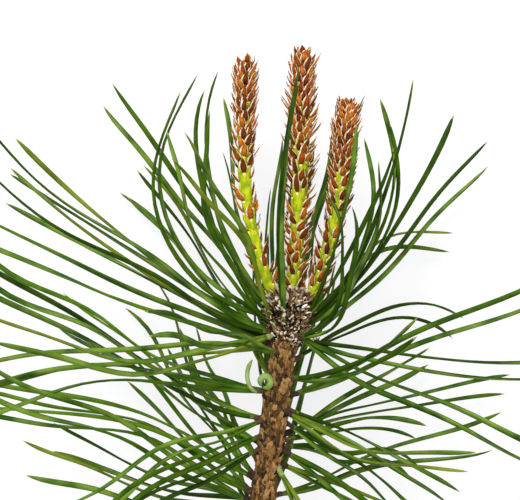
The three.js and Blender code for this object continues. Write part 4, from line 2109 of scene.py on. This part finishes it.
def cushion_shape() -> Object:
    """Makes the swelling under a scale, with a cream seat at its upper end, 1 mm to the unit.

    Returns:
        The swelling, with the seat as part 1.
    """
    floor = -0.3
    shoulder_aside, shoulder_up = 0.8, 0.7
    swelling = ((-2.6, 0.1, 0.02), (-1.8, 0.36, 0.14), (-0.9, 0.48, 0.22))
    seat = ((-0.25, 0.5, 0.3), (0.15, 0.36, 0.26), (0.3, 0.1, 0.1))
    rings = []
    for along, half, height in swelling + seat:
        rings.append(
            [
                np.array([half, along, floor]),
                np.array([-half, along, floor]),
                np.array([-half * shoulder_aside, along, height * shoulder_up]),
                np.array([0.0, along, height]),
                np.array([half * shoulder_aside, along, height * shoulder_up]),
            ]
        )
    shell = Shell()
    shell.add_rings(rings, (0, 0, 0, 1, 1))
    return shell.to_object("cushion_shape")


@dataclass
class BudCluster:
    """The dry papers at the top of the stem, between the needles' feet and the candles."""

    draw: Draw
    # The small papers all round
    count: int = 1900
    span: Span = (60.0, 75.6)
    crowding: float = 0.7
    widest: float = 6.6
    widening: float = 1.8
    drawn_in: float = 2.4
    drawn_in_from: float = 0.72
    drawn_in_rate: float = 3.5
    depth: Span = (0.8, 1.6)
    opening: Span = (10.0, 75.0)
    skew: float = 0.9
    face_out: Span = (0.4, 1.0)
    face_back: Span = (0.0, 0.6)
    face_skew: float = 0.7
    size: Span = (0.24, 0.56)
    stretch: Span = (0.8, 1.9)
    shares_above: tuple[float, ...] = (0.42, 0.2, 0.26, 0.12)
    shares_below: tuple[float, ...] = (0.22, 0.34, 0.22, 0.22)
    parted_at: float = 70.0
    pale_larger: float = 1.2
    # The pale tuft on the right
    tuft_count: int = 110
    tuft_along: Span = (63.8, 65.8)
    tuft_aside: Span = (3.4, 7.2)
    tuft_radius: float = 0.9
    tuft_out: Span = (0.5, 1.0)
    tuft_open: Span = (0.2, 0.8)
    tuft_size: Span = (0.3, 0.62)
    tuft_shares: tuple[float, ...] = (0.62, 0.3, 0.08, 0.0)
    # The brown scales between the candles
    rim_count: int = 90
    rim_along: Span = (72.0, 76.4)
    rim_aside: Span = (1.5, 5.6)
    rim_crown: float = 1.3
    rim_open: Span = (0.0, 0.7)
    rim_skew: float = 0.4
    rim_size: Span = (0.7, 1.15)
    rim_narrow: float = 0.8
    rim_shares: tuple[float, ...] = (0.14, 0.3, 0.5, 0.06)
    # The dark heart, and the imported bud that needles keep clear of
    heart_along: tuple[float, ...] = (62.0, 65.0, 69.0, 72.5, 74.6, 76.0)
    heart_radii: tuple[float, ...] = (2.9, 3.9, 4.7, 4.6, 3.4, 1.2)
    heart_flat: float = 0.8
    heart_sides: int = 14
    solid_shares: Triple = (0.0, 0.35, 1.0)
    solid_radii: tuple[float, float] = (2.2, 3.1)

    def radius_at(self, along: float) -> float:
        """Rounds the cluster, which is drawn in towards the candles.

        Args:
            along: How far from the cut, in mm.

        Returns:
            How far from the stem's middle the papers stand.
        """
        share = (along - self.span[0]) / (self.span[1] - self.span[0])
        radius = mix((STEM_RADIUS, self.widest), ease(share * self.widening))
        return radius - self.drawn_in * ease((share - self.drawn_in_from) * self.drawn_in_rate)

    def obstacle(self) -> Obstacle:
        """Works out what needles keep clear of.

        Returns:
            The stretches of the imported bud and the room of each.
        """
        path = np.array([axis_point(mix((BUD_FROM, BUD_TO), share)) for share in self.solid_shares])
        rooms = [radius + NEEDLE_WIDTH / 2.0 + GAP for radius in self.solid_radii]
        return stretches(path), np.array(rooms)

    def shape(self) -> Object:
        """Makes one curled paper, 1 mm to the unit.

        Returns:
            The paper.
        """
        shell = Shell()
        base = ((0, 0.35, 0, 0), (0.7, 0.55, 0.12, 0), (1.5, 0.5, 0.1, 0.06))
        curl = ((2.1, 0.3, 0.28, 0.12), (2.5, 0.04, 0.55, 0.1))
        add_blade(shell, base + curl)
        return shell.to_object("paper_shape", smooth=False)

    def heart(self, dark: Material) -> Object:
        """Makes the dark heart that the papers are set in.

        Args:
            dark: Its finish.

        Returns:
            The finished piece.
        """
        shell = Shell()
        rings = []
        for along, radius in zip(self.heart_along, self.heart_radii):
            radii = (radius, radius * self.heart_flat)
            rings.append(ring_round(axis_point(along), TANGENT, RIGHT, radii, self.heart_sides))
        shell.add_rings(rings, [0] * (len(rings) - 1))
        shell.points = list(in_frame(np.array(shell.points)))
        piece = shell.to_object("bud_core", scale=1.0)
        piece.data.materials.append(dark)
        return adopt(piece, ["bud_scales"])

    def add_papers(self, spots: Sprinkle) -> None:
        """Adds the small papers all round, paler towards the candles.

        Args:
            spots: What they are added to.
        """
        for index in range(self.count):
            along = mix(self.span, self.draw.chance() ** self.crowding)
            around = outward(index * GOLDEN_ANGLE)
            across = np.cross(TANGENT, around)
            opening = math.radians(self.draw.between(*self.opening))
            aim = TANGENT * math.cos(opening) + around * math.sin(opening)
            aim = aim + across * self.draw.between(-self.skew, self.skew)
            face = around * self.draw.between(*self.face_out) - TANGENT * self.draw.between(*self.face_back)
            face = face + across * self.draw.between(-self.face_skew, self.face_skew)
            size = self.draw.between(*self.size)
            foot = axis_point(along) + around * (self.radius_at(along) - self.draw.between(*self.depth))
            is_above = along > self.parted_at
            tone = self.draw.pick(self.shares_above if is_above else self.shares_below)
            if is_above and tone == 0:
                size *= self.pale_larger
            spots.add(foot, aim, face, (size * self.draw.between(*self.stretch), size, size), tone)

    def add_tuft(self, spots: Sprinkle) -> None:
        """Adds the pale tuft of papers that stands out on the right.

        Args:
            spots: What it is added to.
        """
        for index in range(self.tuft_count):
            turn = math.radians(index * GOLDEN_ANGLE)
            around = TANGENT * math.cos(turn) + UP * math.sin(turn)
            aside = mix(self.tuft_aside, self.draw.chance())
            foot = axis_point(mix(self.tuft_along, self.draw.chance())) + RIGHT * aside
            aim = RIGHT * self.draw.between(*self.tuft_out) + around * self.draw.between(*self.tuft_open)
            size = self.draw.between(*self.tuft_size)
            tone = self.draw.pick(self.tuft_shares)
            spots.add(foot + around * self.tuft_radius, aim, around, (size, size, size), tone)

    def add_rim(self, spots: Sprinkle) -> None:
        """Adds the larger brown scales that stand up between the feet of the candles.

        Args:
            spots: What they are added to.
        """
        for index in range(self.rim_count):
            around = outward(index * GOLDEN_ANGLE)
            across = np.cross(TANGENT, around)
            share = math.sqrt(self.draw.chance())
            height = self.draw.chance() * (self.rim_crown - share) / self.rim_crown
            foot = axis_point(mix(self.rim_along, height)) + around * mix(self.rim_aside, share)
            aim = TANGENT + around * self.draw.between(*self.rim_open)
            aim = aim + across * self.draw.between(-self.rim_skew, self.rim_skew)
            size = self.draw.between(*self.rim_size)
            tone = self.draw.pick(self.rim_shares)
            spots.add(foot, aim, around, (size * self.rim_narrow, size, size), tone)

    def build(self) -> Object:
        """Makes the heart and sprinkles the papers over it.

        Returns:
            The piece with the papers.
        """
        tones = built(PaperTone)
        self.heart(tones["DARK"])
        spots = Sprinkle()
        self.add_papers(spots)
        self.add_tuft(spots)
        self.add_rim(spots)
        tree = ScatterTree("paper_scatter", list(tones), {})
        shape = self.shape()
        piece = tree.grow(spots.to_object("bud_papers"), {"Shape": shape, "Size": 1.0, **tones})
        bpy.data.objects.remove(shape)
        return adopt(piece, ["bud_scales"])


# The studio


@dataclass(frozen=True)
class Lamp:
    """A square soft light, placed from the picture's middle in metres, with its power in watts."""

    name: str
    place: Triple
    size: float
    power: float


@dataclass
class Studio:
    """The floor, the lights and the camera."""

    middle_from_cut: tuple[float, float] = (2.64, 84.0)
    camera_above_stem: float = 400.0
    picture_width: float = 124.8
    sensor: float = 36.0
    floor_half: float = 3.0
    sky_strength: float = 0.95
    lamps: tuple[Lamp, ...] = (
        Lamp("key_light", (-0.28, 0.62, 0.62), 0.5, 8.0),
        Lamp("fill_light", (0.5, -0.1, 0.8), 0.7, 2.0),
    )

    @property
    def middle(self) -> Vector:
        """Gives the middle of the picture, at the height of the stem, in metres."""
        return Vector(CUT_PLACE + np.array([*self.middle_from_cut, 0.0])) * MM

    def build(self) -> None:
        """Builds the floor, the lights and the camera."""
        self._floor()
        self._sky()
        for lamp in self.lamps:
            self._light(lamp)
        self._camera()

    def _floor(self) -> None:
        """Lays a wide plain floor."""
        half = self.floor_half
        mesh = bpy.data.meshes.new("floor")
        corners = [(-half, -half, 0), (half, -half, 0), (half, half, 0), (-half, half, 0)]
        mesh.from_pydata(corners, [], [(0, 1, 2, 3)])
        mesh.materials.append(FloorFinish().build())
        link(bpy.data.objects.new("floor", mesh))

    def _sky(self) -> None:
        """Lights everything evenly from all round."""
        world = bpy.data.worlds.new("studio")
        world.use_nodes = True
        graph = NodeGraph(world.node_tree)
        graph.tree.nodes.clear()
        sky = graph.node("ShaderNodeBackground", None, {"Color": WHITE, "Strength": self.sky_strength})
        graph.node("ShaderNodeOutputWorld", None, {"Surface": sky.outputs[0]})
        bpy.context.scene.world = world

    def _light(self, lamp: Lamp) -> None:
        """Adds a light that looks at the middle of the picture.

        Args:
            lamp: The light.
        """
        data = bpy.data.lights.new(lamp.name, "AREA")
        data.shape = "SQUARE"
        data.size = lamp.size
        data.energy = lamp.power
        holder = link(bpy.data.objects.new(lamp.name, data))
        holder.location = self.middle + Vector(lamp.place)
        holder.rotation_euler = (-Vector(lamp.place)).to_track_quat("-Z", "Y").to_euler()

    def _camera(self) -> None:
        """Looks straight down on the branch, as the photo looks at it from the side."""
        data = bpy.data.cameras.new("camera")
        data.sensor_width = self.sensor
        data.lens = self.camera_above_stem / self.picture_width * self.sensor
        data.clip_start = 0.01
        camera = link(bpy.data.objects.new("camera", data))
        camera.location = self.middle + Vector((0.0, 0.0, self.camera_above_stem * MM))
        bpy.context.scene.camera = camera
        bpy.context.scene.view_settings.view_transform = "Standard"


# The whole branch tip


def candles(draw: Draw) -> list[Candle]:
    """Gives the three candles their sizes.

    Args:
        draw: The chances that they share.

    Returns:
        The candles from left to right.
    """
    left = Candle(
        name="candle_left",
        draw=draw,
        side=-4.5,
        length=58,
        lean=(-20, 1),
        lift=(-3, 0),
        radius=(1.35, 1.9),
        reach=(2.3, 3.2),
        opening=20,
        density=(1.1, 6.4),
        dense_from=0.74,
        head=0.98,
    )
    middle = Candle(
        name="candle_middle",
        draw=draw,
        side=0.2,
        length=59,
        lean=(5, 1),
        lift=(5, 1),
        radius=(1.75, 2.1),
        reach=(2.9, 3.7),
        opening=26,
        density=(2.8, 6.0),
        dense_from=0.7,
        head=0.99,
        frayed=0.22,
    )
    right = Candle(
        name="candle_right",
        draw=draw,
        side=4.6,
        length=50,
        lean=(21, 5),
        lift=(-2, 0),
        radius=(1.6, 2.0),
        reach=(2.5, 3.3),
        opening=22,
        density=(1.9, 7.4),
        dense_from=0.66,
        head=0.965,
    )
    return [left, middle, right]


def dress_needles(grown: Sequence[Shoot], dealer: Draw, sway_draw: Draw) -> None:
    """Builds the needles of each tier, and the two curled ones with the upper tier.

    Args:
        grown: All pairs.
        dealer: The chances of their greens, widths and twists.
        sway_draw: The chances of their waves.
    """
    sweep = SweepTree()
    greens = built(NeedleTint)
    others = {"Flat": NEEDLE_FLAT_PALE_AND_SHEEN, "Neck": NEEDLE_NECK, "Tip": NEEDLE_TIP}
    greens.update({label: finish.build() for label, finish in others.items()})
    curled = CurledNeedles().strands()
    for tier in TIERS:
        shoots = [shoot for shoot in grown if shoot.pair.tier == tier]
        NeedleTier(tier, shoots, dealer, sway_draw).build(sweep, greens, curled if tier == "upper" else ())


def dress_candles(young: Sequence[Candle]) -> None:
    """Builds the candles with the shapes and finishes that they share.

    Args:
        young: The candles.
    """
    paints = built(BractTone)
    others = {"Fringe": FRINGE, "Green": SHOOT_GREEN, "Cushion": CUSHION_GREEN, "Cream": CUSHION_CREAM}
    paints.update({label: finish.build() for label, finish in others.items()})
    trees = {
        "bract": ScatterTree("bract_scatter", [member.name for member in BractTone], {1: "Fringe"}),
        "cushion": ScatterTree("cushion_scatter", ["Cushion"], {1: "Cream"}),
    }
    shapes = {"bract": bract_shape(), "cushion": cushion_shape()}
    for candle in young:
        candle.dress(shapes, trees, paints)
    for shape in shapes.values():
        bpy.data.objects.remove(shape)


def main() -> None:
    """Builds the branch tip piece by piece and reports each."""
    logging.basicConfig(level=logging.INFO, format="%(name)s %(message)s")
    Studio().build()
    young = candles(Draw(SEED + 1))
    bud = BudCluster(Draw(SEED + 2))
    rule = NeedleRule()
    grown = rule.grown([candle.obstacle() for candle in young] + [bud.obstacle()])
    LOG.info("%d needle pairs have grown", len(grown))

    Stem(grown).build()
    dealer = Draw(SEED + 3)
    dress_needles(grown, dealer, Draw(SEED + 4))
    ShortShoots(grown, rule, dealer).build()
    bud.build()
    dress_candles(young)


if __name__ == "__main__":
    main()
